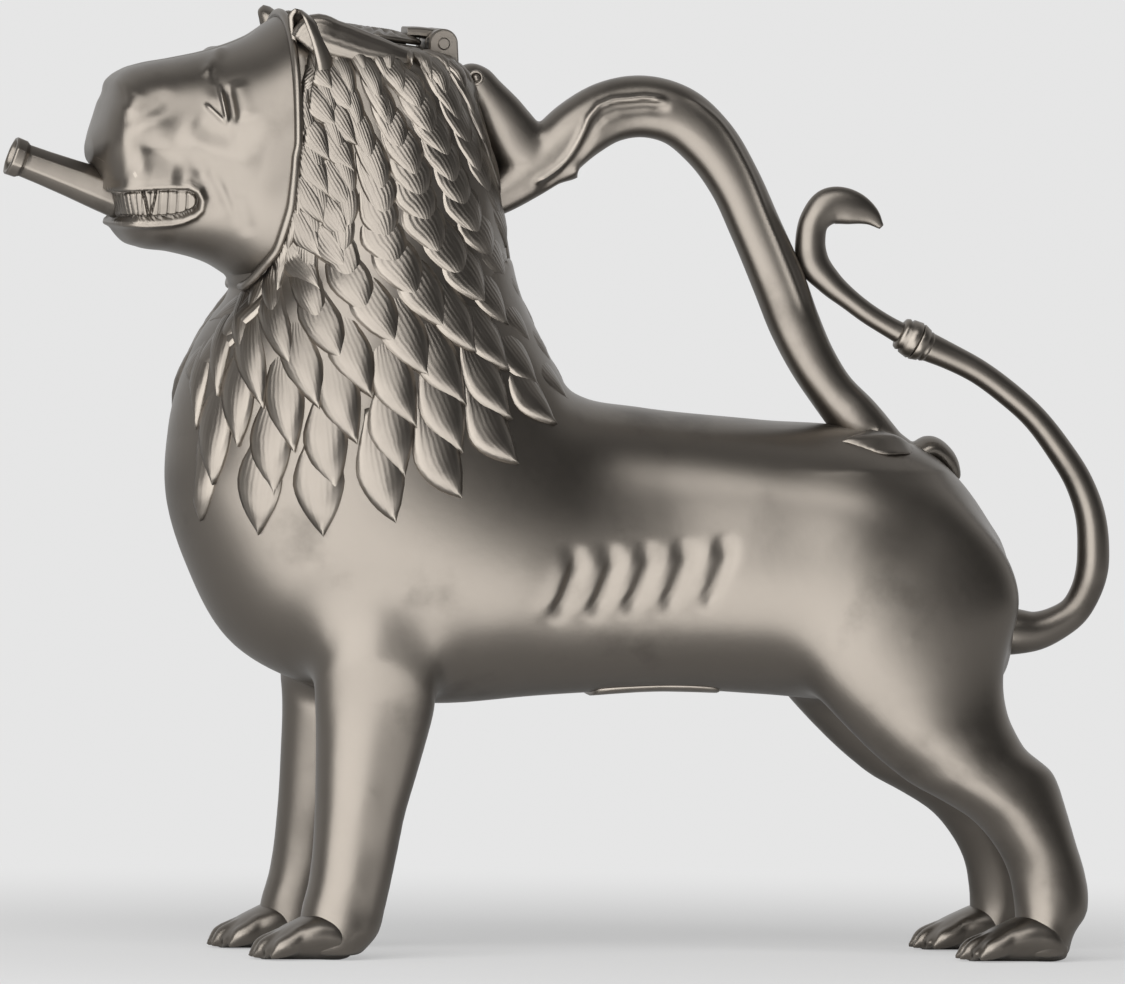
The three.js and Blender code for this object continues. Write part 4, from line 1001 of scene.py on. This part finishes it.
def face_cord(ground):
    """The raised cord round the face: a round section carried over the crown, down behind the cheek and
    forwards to the middle of the throat, on the outer one of the head's and the neck's skins."""
    half_turn = np.linspace(0, math.pi, 181)
    on_neck = crossing(ovals(smooth_rows(TRUNK[10:22], 500), 0, half_turn))
    on_neck = on_neck[on_neck[:, 2] > CORD_END]
    on_neck = on_neck[np.argsort(on_neck[:, 2])]
    rows = smooth_rows(HEAD, 600)
    rows = rows[(rows[:, 0] > -100) & (rows[:, 0] < -79.6)]
    on_head = crossing(ovals(rows, 0, half_turn)[:, ::-1])
    on_head = on_head[np.argsort(on_head[:, 2])]
    over_crown = ovals([[-78.8, 0, 215.8, 37.2, 28.9, 0, 2.2]], 0, np.linspace(0, math.pi / 2, 40))[0]
    z = np.linspace(over_crown[-1, 2], on_neck[0, 2], 160)
    neck_wide = np.interp(z, on_neck[:, 2], on_neck[:, 1])
    head_wide = np.interp(z, on_head[:, 2], on_head[:, 1], left=0)
    down = np.stack([cord_x(z), np.maximum(neck_wide, head_wide), z], -1)
    low = np.flatnonzero(z < 200)
    near = ground[(ground[:, 0] < -76) & (ground[:, 2] < 204) & (ground[:, 1] > 0)]
    away = np.linalg.norm(down[low][:, None, [0, 2]] - near[None][..., [0, 2]], axis=-1)
    down[low, 1] = np.where(away < 1.0, near[:, 1], 0).max(axis=1)
    path = np.concatenate([over_crown[:-1], down])
    path[-1, 1] = 0
    path = evenly_along(path, 240)
    whole = np.concatenate([(path * [1, -1, 1])[::-1], path[1:]])
    for _ in range(14):
        whole[1:-1] += 0.5 * ((whole[:-2] + whole[2:]) / 2 - whole[1:-1])
    tangent = unit(np.gradient(whole, axis=0))
    out = (whole - [-70, 0, 200]) * [0.35, 1, 1]
    out = unit(out - (out * tangent).sum(1, keepdims=True) * tangent)
    side = np.cross(tangent, out)
    angle = full_turn(12)
    section = out[:, None] * (CORD_HIGH * np.cos(angle) + 0.5)[:, None]
    section = section + side[:, None] * (CORD_WIDE * np.sin(angle))[:, None]
    return skin(whole[:, None] + section)


def ear_tuft(side):
    """The hair behind an ear, from its tip down and back to the crown beside the lid."""
    return rod([
        [-76.2, side * 21.3, 245.6, 4.4, 2.0],
        [-73.5, side * 21.3, 248.4, 5.4, 3.2],
        [-68, side * 20.4, 246.8, 5.6, 3.8],
        [-60, side * 19.3, 244.4, 5.2, 3.8],
        [-52, side * 18.6, 242.6, 3.9, 3.2],
        [-46, side * 18, 241.4, 2.6, 2],
    ], 40, 28)


def ear(side):
    """A pricked ear: a C-shaped section, open to the front, that shrinks and closes towards the tip."""
    rows = smooth_rows([
        [-72.0, side * 19.6, 234.0, 5.8],
        [-72.8, side * 20.3, 240, 5.7],
        [-74.4, side * 21.1, 246, 5.3],
        [-76.0, side * 21.8, 250.4, 4.6],
        [-77.2, side * 22.4, 253.4, 3.4],
        [-78.0, side * 22.8, 255.2, 1.0],
    ], 36)
    middle_x, middle_y, middle_z, outer = rows.T[..., None]
    inner = np.maximum(outer - 1.5, outer * 0.4)
    bow = np.linspace(-1, 1, 21) * math.radians(128)
    angle = np.concatenate([bow, bow[::-1]]) - side * math.radians(36)
    reach = np.concatenate([np.repeat(outer, 21, 1), np.repeat(inner, 21, 1)], 1)
    x, y = reach * np.cos(angle), reach * np.sin(angle) * 0.85
    return skin(np.stack([middle_x + x, middle_y + y, middle_z - 0.25 * x], -1))


# Seat, lid and hinge

KNUCKLE_WIDTH, LUG_WIDTH, HINGE_GAP, HINGE_RADIUS, PIN_RADIUS = 9, 4.5, 0.5, 4, 1.7


def round_pin(radius, turn):
    """Points of the side view at angles round the hinge pin."""
    return HINGE[[0, 2]] + radius * np.stack([np.cos(turn), np.sin(turn)], -1)


def slab(profile, low, high, bevel=0.5):
    """A profile of the side view carried across the lion from low to high, drawn in at both ends."""
    profile = np.asarray(profile, float)
    middle = profile.mean(axis=0)
    shrunk = middle + (profile - middle) * (1 - bevel / np.linalg.norm(profile - middle, axis=1).mean())
    places = [(low, shrunk), (low + bevel, profile), (high - bevel, profile), (high, shrunk)]
    return skin(np.stack([np.insert(outline, 1, y, axis=1) for y, outline in places]))


def seat_ring():
    """The flat rim under the lid's edge, with the upper end of the filling hole's wall."""
    rows = [[-5, 3.4], [SEAT_TOP - 0.5, 3.6], [SEAT_TOP, 3.2], [SEAT_TOP, 0.3], [SEAT_TOP - 0.3, 0], [-5, 0]]
    return hoop(round_hole(rows, 96))


def crown_lid():
    """The lid: a plug, a flat underside and a domed top whose locks run from the middle as shallow waves."""
    sides = 144
    rim = [[-3, -2.5], [-3, -1.2], [-2.6, -1], [0.02, -1], [0, LID_REACH - 0.4]]
    rim += [[0.4, LID_REACH], [1.2, LID_REACH]]
    share = np.linspace(1, 0.04, 22)[:, None]
    long, wide = (HOLE_LONG + LID_REACH) * share - 0.25, (HOLE_WIDE + LID_REACH) * share - 0.2
    dome = level_ovals(1.4 + 1.7 * (1 - share**2.2), long, wide, sides)
    waves = np.cos(18 * full_turn(sides) + 1.8 * np.sin(share * 9))
    dome[..., 2] += 0.42 * waves * smoothstep(0.1, 0.45, share) * smoothstep(1.0, 0.9, share)
    return skin(np.concatenate([round_hole(rim, sides), dome]))


def lid_arm():
    """The lid's flat arm with the hinge's knuckle."""
    arm = rod([[-44.5, 0, 249.0, 1.4, 4.6], [-41, 0, 248.9, 1.5, 4.5], [-37, 0, 248.4, 1.6, 4.4]], 12, 24, 4)
    half = KNUCKLE_WIDTH / 2
    return together(arm, slab(round_pin(HINGE_RADIUS, full_turn(48)), -half, half, 0.4))


def hinge_lug():
    """A lug: a disc round the pin on a foot that runs down into the crown, and its mirror image."""
    inner = KNUCKLE_WIDTH / 2 + HINGE_GAP
    arc = round_pin(HINGE_RADIUS, np.linspace(0, math.pi, 33))
    down = np.linspace(0, 1, 8)[1:, None]
    left = arc[-1] + down * ([-39.5, 236] - arc[-1])
    right = arc[0] + down * ([-30.9, 236] - arc[0])
    return both_sides(slab(np.concatenate([arc, left, right[::-1]]), inner, inner + LUG_WIDTH, 0.6))


def hinge_pin():
    """The pin, whose ends stand 0.6 mm out of the lugs."""
    half = KNUCKLE_WIDTH / 2 + HINGE_GAP + LUG_WIDTH + 0.6
    return slab(round_pin(PIN_RADIUS, full_turn(32)), -half, half, 0.35)


# Spout

SPOUT_TIP = np.array([-152, 0, 214.8])
SPOUT_AXIS = np.array([math.cos(math.radians(20)), 0, -math.sin(math.radians(20))])


def spout():
    """A bored tube with eight rounded sides: thick at its lip, thin behind it and thicker to the mouth."""
    outer = np.array([
        [0, 5.0], [0.35, 5.35], [2.9, 5.25], [3.3, 4.95], [4.0, 4.55], [10, 4.75], [18, 5.2], [26, 5.8],
        [33, 6.2],
    ])
    inner = np.array([[33, 3.4], [20, 3.5], [4, 3.7], [0.6, 4.0], [0, 4.4]])
    fine = np.stack([np.interp(np.linspace(0, 8, 49), np.arange(9), outer[:, i]) for i in (0, 1)], -1)
    angle = full_turn(64)
    sided = np.cos(math.pi / 8) / np.cos((angle + math.pi / 8) % (math.pi / 4) - math.pi / 8)
    sided = 0.62 * sided / sided.mean() + 0.38
    reach = np.concatenate([fine[:, 1:] * sided, inner[:, 1:] * np.ones(64)])
    along = np.concatenate([fine, inner])[:, 0, None, None]
    up = np.array([-SPOUT_AXIS[2], 0, SPOUT_AXIS[0]])
    ring = np.cos(angle)[:, None] * up + np.sin(angle)[:, None] * np.array([0, 1, 0])
    return hoop(SPOUT_TIP + along * SPOUT_AXIS + reach[..., None] * ring)


# Handle: a dragon with its head behind the crown

HANDLE_PATH = np.array([
    [-34, 0, 200, 5, 4.6], [-25, 0, 202.6, 5.4, 5], [-17.6, 0, 205.8, 5.8, 5.6], [-11, 0, 210.4, 6.8, 6.4],
    [-4, 0, 216.2, 8, 7.2], [4, 0, 223.2, 8.4, 7.6], [12, 0, 227.8, 8.4, 7.6], [21, 0, 229.4, 8.4, 7.5],
    [31, 0, 227, 8.2, 7.3], [39.6, 0, 219.9, 7.8, 7], [46.9, 0, 209.4, 7.1, 6.7], [52.7, 0, 197.4, 7, 6.6],
    [59.9, 0, 181.4, 7.2, 6.8], [64, 0, 171.1, 7, 6.7], [69.6, 0, 160.1, 6.5, 6.6], [74.5, 0, 152.9, 6.3, 7],
    [81, 0, 145.5, 7, 8.2], [90, 0, 135, 7, 8],
])
DRAGON_NECK = np.array([
    [2, 0, 217, 7.5, 6.4], [-5.2, 0, 215.6, 7.6, 6.6], [-11.4, 0, 217.7, 7.9, 6.6],
    [-15.7, 0, 222.8, 7.6, 6.4], [-19, 0, 227.7, 6.8, 6], [-22.3, 0, 232.2, 5.6, 5.7],
    [-25.6, 0, 235.3, 5.3, 5.4], [-29.5, 0, 235, 3.8, 4.6], [-33.5, 0, 233, 2.2, 3],
])
REAR_LEAF = np.array([
    [86, 0, 141, 3.6, 4], [92, 0, 138.6, 3.4, 6.2], [98, 0, 135.8, 3, 7], [101.5, 0, 137.4, 3.6, 6.8],
    [105.4, 0, 135.2, 3.4, 5.4], [108.2, 0, 131.6, 2.6, 3.4], [110, 0, 128.6, 1, 1.2],
])
DRAGON_BROW = np.array([
    [-17.5, 0, 231, 2, 2.4], [-21.4, 0, 235.6, 2.4, 4.2], [-26, 0, 238.2, 2.6, 4.2],
    [-31.5, 0, 236, 1.0, 2.4],
])
DRAGON_CREST = np.array([
    (-10.5, 208.2), (-6, 210.9), (-2.7, 213.4), (0, 216.3), (2.2, 219.9), (3.8, 223.2), (5.1, 226.4),
    (7.8, 229.4), (11.6, 231), (16.1, 231.5), (20.2, 231.9), (27, 231.2),
])
DRAGON_WING = np.array([(31, 233), (41, 225.6), (48.6, 214), (54.8, 200), (61, 185.6), (66.4, 172)])
DRAGON_MOUTH = [(-36, 236.6), (-30, 235.2), (-25.4, 231.4)]
DRAGON_EYE = np.array([-25.7, -5.2, 236.8])


def side_leaf():
    """A leaf laid on the flank at the foot of the handle: flat, three-cornered, with a keel."""
    rows = smooth_rows([
        [94, -9.6, 137.6, 1.6, 5.4],
        [89, -14, 139.4, 2.2, 6.6],
        [83.8, -16.8, 139.6, 2.2, 6.9],
        [79.6, -17.6, 139.8, 1.8, 4.4],
        [75.6, -18.2, 139.8, 1.4, 2],
        [72.9, -18.6, 139.4, 0.6, 0.5],
    ], 40)
    path, thick, wide = np.split(rows, [3, 4], axis=1)
    along = unit(np.gradient(path, axis=0))
    across = unit(np.cross(along, [0, 0.52, -0.85]))
    out = np.cross(across, along)
    out *= -np.sign(out[:, 1:2])
    u = np.array([-1, -0.5, 0, 0.5, 1, 0.5, 0, -0.5])
    lift = np.array([0, 0.55, 1, 0.45, 0, -1, -1, -1])
    section = across[:, None] * (wide * u)[..., None] + out[:, None] * (thick * lift)[..., None]
    return skin(path[:, None] + section)


def eye_ring(centre, radius, thick):
    """A ring round a round pupil, lying in the side view at the given distance from the middle plane."""
    turn = full_turn(28)
    away = np.stack([np.cos(turn), np.zeros(28), np.sin(turn)], -1)
    section = full_turn(8)[:, None]
    tube = away[:, None] * np.cos(section) + np.array([0, LEFT, 0]) * np.sin(section)
    return hoop(centre + radius * away[:, None] + thick * tube)


def ball(centre, radius, sides=20):
    """A ball whose poles lie across the lion."""
    share = np.linspace(0.02, 0.98, 12)[:, None] * math.pi
    turn = full_turn(sides)
    x, z = np.sin(share) * np.cos(turn), np.sin(share) * np.sin(turn)
    return skin(np.asarray(centre) + np.stack([x, np.broadcast_to(np.cos(share), x.shape), z], -1) * radius)


def dragon():
    """The arched body, the neck with the head on the crown, the forelegs on the nape and three leaves at the
    foot. A crest runs up the shoulder and a wing's edge down the body."""
    arch = rod(HANDLE_PATH, 170, 56, 2.3)
    neck = rod(DRAGON_NECK, 70, 48, 2.3)
    rear = rod(REAR_LEAF, 60, 32, 1.7)
    leaf = both_sides(side_leaf())
    brow = rod(DRAGON_BROW, 40, 24)
    made = relaxed(remeshed(together(arch, neck, rear, leaf, brow), 0.7), 4)
    side_view = made.points[:, [0, 2]]
    normal = point_normals(made)
    flank = smoothstep(0.25, 0.7, np.abs(normal[:, 1]))
    wing = smooth_rows(np.insert(DRAGON_WING, 1, 0, axis=1), 40)[:, [0, 2]]
    raised = 1.3 * stroke(side_view, DRAGON_CREST, 0.8, 0.08) + 0.55 * stroke(side_view, wing, 0.9, 0.1)
    sunk = 0.8 * stroke(side_view, DRAGON_MOUTH, 0.55, 0.1)
    sunk += 0.9 * stroke(side_view, DRAGON_CREST + [1.4, -2.2], 1.5, 0.1)
    made.points += normal * ((raised - sunk) * flank)[:, None]
    eye = together(eye_ring(DRAGON_EYE, 1.7, 0.5), ball(DRAGON_EYE + [0, 0.1, 0], 1.2))
    return together(made, both_sides(eye))


# Tail

TAIL = np.array([
    [116, 0, 88.6, 6.2, 6.2], [125.6, 0, 87.9, 6.3, 6.2], [132.1, 0, 88.1, 5.3, 5.3],
    [137.7, 0, 90.2, 4.6, 4.6], [142.4, 0, 93.4, 4.2, 4.2], [145.6, 0, 98.5, 4.2, 4.2],
    [147.4, 0, 104.5, 4.4, 4.3], [147.7, 0, 110.9, 4.36, 4.2], [146.8, 0, 119.3, 4.1, 4],
    [143.4, 0, 128.6, 3.8, 3.8], [137.6, 0, 137.6, 3.6, 3.6], [130.4, 0, 146.4, 3.4, 3.4],
    [123.2, 0, 152.6, 3.4, 3.3], [114.6, 0, 158.6, 3.4, 3.3], [107, 0, 162.4, 3.6, 3.4],
    [101, 0, 165, 4, 3.8],
])
TAIL_TIP = np.array([
    [97.2, 0, 166.6, 3.2, 3.1], [90, 0, 170.4, 2.8, 2.8], [84.5, 0, 173.7, 2.8, 2.8],
    [79.4, 0, 177.4, 2.9, 2.9], [73.3, 0, 182.5, 3.6, 3.4], [68.8, 0, 188.2, 4.4, 3.7],
    [68.2, 0, 193.6, 4.1, 3.6], [69.3, 0, 198.9, 4.1, 3.4], [73, 0, 202.6, 5, 3.1],
    [79.8, 0, 202.4, 4.6, 2.5], [84.8, 0, 200.2, 2.7, 1.5], [87.8, 0, 197.3, 0.8, 0.6],
])
KNOP = np.array([97.9, 0, 166.4])
KNOP_DIRECTION = np.array([-0.89, 0, 0.456])


def collar(rows, sides=32):
    """A turned collar at the knop: a profile of [distance, radius] carried round the tail's own line."""
    distance, radius = np.array(rows).T[..., None, None]
    up = np.array([KNOP_DIRECTION[2], 0, -KNOP_DIRECTION[0]])
    turn = full_turn(sides)[:, None]
    ring = np.cos(turn) * up + np.sin(turn) * np.array([0, 1, 0])
    return skin(KNOP + distance * KNOP_DIRECTION + radius * ring)


def tail():
    """The tail from the rump up to the lower half of its knop."""
    knob = [[-4.2, 3.0], [-3.9, 3.9], [-3.1, 4.3], [-2.5, 4.1], [-2.2, 4.6], [-0.3, 5.2], [0.0, 5.0]]
    return together(rod(TAIL, 190, 40), collar(knob))


def tail_tip():
    """The free end of the tail from the knop to its tuft, which curls round in a flat hook."""
    knob = [[0.25, 5.0], [0.6, 5.3], [3.0, 4.9], [3.4, 4.2], [4.2, 4.6], [5.0, 4.2], [5.4, 3.2]]
    return together(rod(TAIL_TIP, 130, 40), collar(knob))


# Paws

TOES = 4
FORE_PAW, HIND_PAW = (-62.5, -90), (134.5, 104.3)  # heel and toe


def paw(heel, toe):
    """A low wedge with four pointed toes that fan out of it, as one skin. Drawn round its own middle line."""
    # The wedge's rows hold the share of the paw's length, the half height and the share of its half width.
    share, high, wide = np.array([
        [0.0, 3.0, 0.55], [0.08, 5, 0.78], [0.3, 6.4, 0.92], [0.55, 5.2, 0.94], [0.78, 3.2, 0.86],
        [0.88, 1.8, 0.74],
    ]).T
    flat, length, half = np.zeros(6), heel - toe, PAW_WIDTH / 2
    middle = np.r_[3.6, high[1:]]
    wedge = np.stack([heel - share * length, flat, middle, high, half * wide, flat, flat + 2.2], -1)
    skins = [skin(ovals(smooth_rows(wedge, 40), 48))]
    for off in np.linspace(-0.5, 0.5, TOES):
        reach = 1 - 0.64 * off * off
        share = np.array([0.3, 0.5, 0.7 * reach, 0.9 * reach, reach])
        toe_rows = np.stack([
            heel - share * length,
            off * PAW_WIDTH * (0.62 + 0.24 * np.array([-0.2, 0, 0.4, 0.75, 1])),
            [8.2, 6.8, 4.9, 2.6, 0.9],
            [2.2, 2.9, 3.2, 2.3, 0.45],
            [2.2, 2.8, 2.7, 1.9, 0.35],
            [0, -25, -35, -30, -10],
            np.full(5, 2.0),
        ], -1)
        skins.append(skin(ovals(smooth_rows(toe_rows, 40), 24)))
    return relaxed(remeshed(together(*skins), 0.5), 3)


def set_down(shape, side):
    """A paw moved to its side, with its sole pressed flat on the ground."""
    points = shape.points + [0, side * PAW_SPREAD, 0]
    points[:, 2] = np.maximum(points[:, 2], 0)
    return Shape(points, shape.quads, shape.tris, shape.uv)


# Belly plate


def belly_plate():
    """A thin patch on the belly, drawn as rounded rectangles on the skin of the barrel."""
    share = np.array([0.96, 1.0, 1.0, 0.97, 0.6, 0.2])[:, None]
    drop = np.array([-2.0, -2.0, 0.25, 0.55, 0.6, 0.6])[:, None]
    long, wide = rounded(full_turn(96), 2 / 7)
    x, y = 26 + 17.6 * share * long, 9.6 * share * wide
    rows = smooth_rows(TRUNK[:12], 400)
    rows = rows[np.argsort(rows[:, 0])]
    middle, high, half, power = (np.interp(x, rows[:, 0], rows[:, i]) for i in (2, 3, 4, 6))
    round_part = np.clip(1 - (np.abs(y) / half) ** power, 0, 1) ** (1 / power)
    return skin(np.stack([x, y, middle - high * round_part - drop], -1))


# The pieces

LEGS = "fore_leg_left", "fore_leg_right", "hind_leg_left", "hind_leg_right"
MANE_NODES = "mane_casting", "neck_casting", "crown_casting"

piece("body_skin", body_and_legs(), "smooth", "body_casting", *LEGS)
for limb, foot in (("fore_leg", paw(*FORE_PAW)), ("hind_leg", paw(*HIND_PAW))):
    for side, word in ((LEFT, "left"), (RIGHT, "right")):
        piece(f"{limb}_paw_{word}", set_down(foot, side), "smooth", f"{limb}_{word}")
neck = neck_ground()
piece("neck_ground", neck, "smooth", *MANE_NODES)
locks = together(mane_locks(), cord_locks(), ear_tuft(LEFT), ear_tuft(RIGHT))
piece("mane_locks", locks, "hair", *MANE_NODES)
piece("face_cord", face_cord(neck.points), "smooth", *MANE_NODES)
piece("ears", together(ear(LEFT), ear(RIGHT)), "face", "crown_casting")
piece("seat_ring", seat_ring(), "fitting", "crown_casting", shade_smooth=False)
piece("hinge_lugs", hinge_lug(), "fitting", "crown_casting", shade_smooth=False)
piece("face_skin", face(), "face", "head_casting")
piece("pouring_tube", spout(), "fitting", "spout")
piece("lid_cover", crown_lid(), "fitting", "lid", body="lid")
piece("lid_arm", lid_arm(), "fitting", "lid", body="lid", shade_smooth=False)
piece("lid_pin", hinge_pin(), "fitting", "hinge_pin", shade_smooth=False)
piece("dragon_handle", dragon(), "smooth", "handle")
piece("tail_shaft", tail(), "smooth", "tail")
piece("tail_tuft", tail_tip(), "smooth", "tail_tip")
piece("core_hole_plate", belly_plate(), "plate", "belly_plate", slot="bronze_plate")


# Floor, light and camera

PALE = 0.79  # how bright the background looks, where 1 is white
ROOM = 0.08  # how bright the room on the camera's side looks in the metal
SHEET = 8  # half the floor's width in metres
UP = np.array([0, 0, 1.0])
CAMERA_AZIMUTH, CAMERA_HEIGHT, CAMERA_ROLL = -11.5, 2.0, 0.74  # in degrees
CAMERA_AIM, CAMERA_AWAY, CAMERA_LENS = np.array([0.0013, 0, 0.125]), 8, 947.7


def pale_floor():
    """A pale sheet: plain paper round the jug, which takes its shadow, and further off as bright as the
    background."""
    mesh = bpy.data.meshes.new("floor")
    corners = [(-SHEET, -SHEET, 0), (SHEET, -SHEET, 0), (SHEET, SHEET, 0), (-SHEET, SHEET, 0)]
    mesh.from_pydata(corners, [], [(0, 1, 2, 3)])
    floor = bpy.data.objects.new("floor", mesh)
    bpy.context.scene.collection.objects.link(floor)
    finish = Finish("floor_paper")
    where = finish.place()
    grain = finish.noise(where, 60, 3)
    finish.feed("Base Color", finish.mixed(grain * 0.05, (0.62, 0.62, 0.62, 1), (0.55, 0.55, 0.55, 1)))
    finish.feed("Roughness", 0.9 + grain * 0.05)
    away = finish.node("ShaderNodeVectorMath", {"operation": "LENGTH"}, {0: where}, output=1)
    glow = finish.node("ShaderNodeEmission", {}, {"Color": (1, 1, 1, 1), "Strength": PALE})
    path = finish.nodes.new("ShaderNodeLightPath").outputs
    kinds = ("Camera", "Glossy", "Transmission")
    camera, glossy, through = (Value(finish, path[f"Is {kind} Ray"]) for kind in kinds)
    far = away.above(0.12, 0.5)
    share = (camera + through) * (0.5 + far * 0.5) + glossy * far * 0.35
    blend = finish.node("ShaderNodeMixShader", {}, {0: share, 2: glow})
    finish.links.new(finish.shader.outputs[0], blend.socket.node.inputs[1])
    finish.links.new(blend.socket, finish.nodes["Material Output"].inputs["Surface"])
    mesh.materials.append(finish.material)


def pale_world():
    """A world that looks pale to the camera, and lights the scene only softly. The metal shows the pale
    backdrop behind the jug and the dim room on the camera's side."""
    world = bpy.data.worlds.new("studio")
    bpy.context.scene.world = world
    world.use_nodes = True
    nodes, links = world.node_tree.nodes, world.node_tree.links
    back = nodes["Background"]
    path = nodes.new("ShaderNodeLightPath")
    split = nodes.new("ShaderNodeSeparateXYZ")
    links.new(nodes.new("ShaderNodeTexCoord").outputs["Generated"], split.inputs[0])
    behind = nodes.new("ShaderNodeMapRange")
    for socket, value in enumerate((-0.25, 0.45, ROOM, PALE), 1):
        behind.inputs[socket].default_value = value
    links.new(split.outputs["Y"], behind.inputs[0])
    strength = nodes.new("ShaderNodeMix")
    strength.inputs[2].default_value = 0.30
    links.new(path.outputs["Is Glossy Ray"], strength.inputs[0])
    links.new(behind.outputs[0], strength.inputs[3])
    seen = nodes.new("ShaderNodeMix")
    seen.inputs[3].default_value = PALE
    either = nodes.new("ShaderNodeMath")
    either.operation = "MAXIMUM"
    links.new(path.outputs["Is Camera Ray"], either.inputs[0])
    links.new(path.outputs["Is Transmission Ray"], either.inputs[1])
    links.new(either.outputs[0], seen.inputs[0])
    links.new(strength.outputs[0], seen.inputs[2])
    links.new(seen.outputs[0], back.inputs["Strength"])
    back.inputs["Color"].default_value = (1, 1, 1, 1)


def glowing_panel(name, wide, tall, radiance, at, direction, up):
    """A rectangle of even light, in metres, that looks from a place in a direction. No camera sees it."""
    lamp = bpy.data.lights.new(name, "AREA")
    lamp.shape = "RECTANGLE"
    lamp.size, lamp.size_y = wide, tall
    lamp.energy = radiance * math.pi * wide * tall
    made = bpy.data.objects.new(name, lamp)
    bpy.context.scene.collection.objects.link(made)
    look_along(made, at, direction, up)
    made.visible_camera = False


def towards(azimuth, height):
    """The direction from the jug at an azimuth and a height in degrees: 0 is the lion's left side, level."""
    a, h = math.radians(azimuth), math.radians(height)
    return np.array([math.sin(a) * math.cos(h), -math.cos(a) * math.cos(h), math.sin(h)])


def soft_lamp(name, azimuth, height, distance, wide, tall, radiance):
    """A softbox that looks at the jug. Azimuth and height are in degrees, the sizes in metres."""
    way = towards(azimuth, height)
    glowing_panel(name, wide, tall, radiance, np.array([0, 0, 0.13]) + way * distance, -way, UP)


def look_along(thing, place_at, direction, up):
    """Places a lamp or camera at a point, looking in a direction, with the given up as near as can be."""
    back = -unit(direction)
    right = unit(np.cross(up, back))
    rows = np.stack([right, np.cross(back, right), back, place_at], -1)
    thing.matrix_world = Matrix([list(row) for row in rows] + [[0, 0, 0, 1]])


def photo_camera():
    """The photo's view: from the lion's left and a little from the front, nearly level, from far off."""
    azimuth, roll = math.radians(CAMERA_AZIMUTH), math.radians(CAMERA_ROLL)
    way = towards(CAMERA_AZIMUTH, CAMERA_HEIGHT)
    right = np.array([math.cos(azimuth), math.sin(azimuth), 0])
    up = np.cross(way, right)
    camera = bpy.data.cameras.new("camera")
    camera.sensor_width = 36
    camera.lens = CAMERA_LENS
    made = bpy.data.objects.new("camera", camera)
    bpy.context.scene.collection.objects.link(made)
    look_along(made, CAMERA_AIM + way * CAMERA_AWAY, -way, math.cos(roll) * up - math.sin(roll) * right)
    bpy.context.scene.camera = made


pale_floor()
pale_world()
soft_lamp("window", azimuth=-32, height=15, distance=1.6, wide=2.2, tall=1.2, radiance=4.1)
soft_lamp("skylight", azimuth=-14, height=48, distance=1.6, wide=1.7, tall=0.6, radiance=3.6)
card_place = np.array([-0.42, -0.55, 0.003])
glowing_panel("floor_card", 1.2, 0.9, 3.0, card_place, direction=UP, up=np.array([0, 1.0, 0]))
photo_camera()
bpy.context.scene.view_settings.view_transform = "Standard"
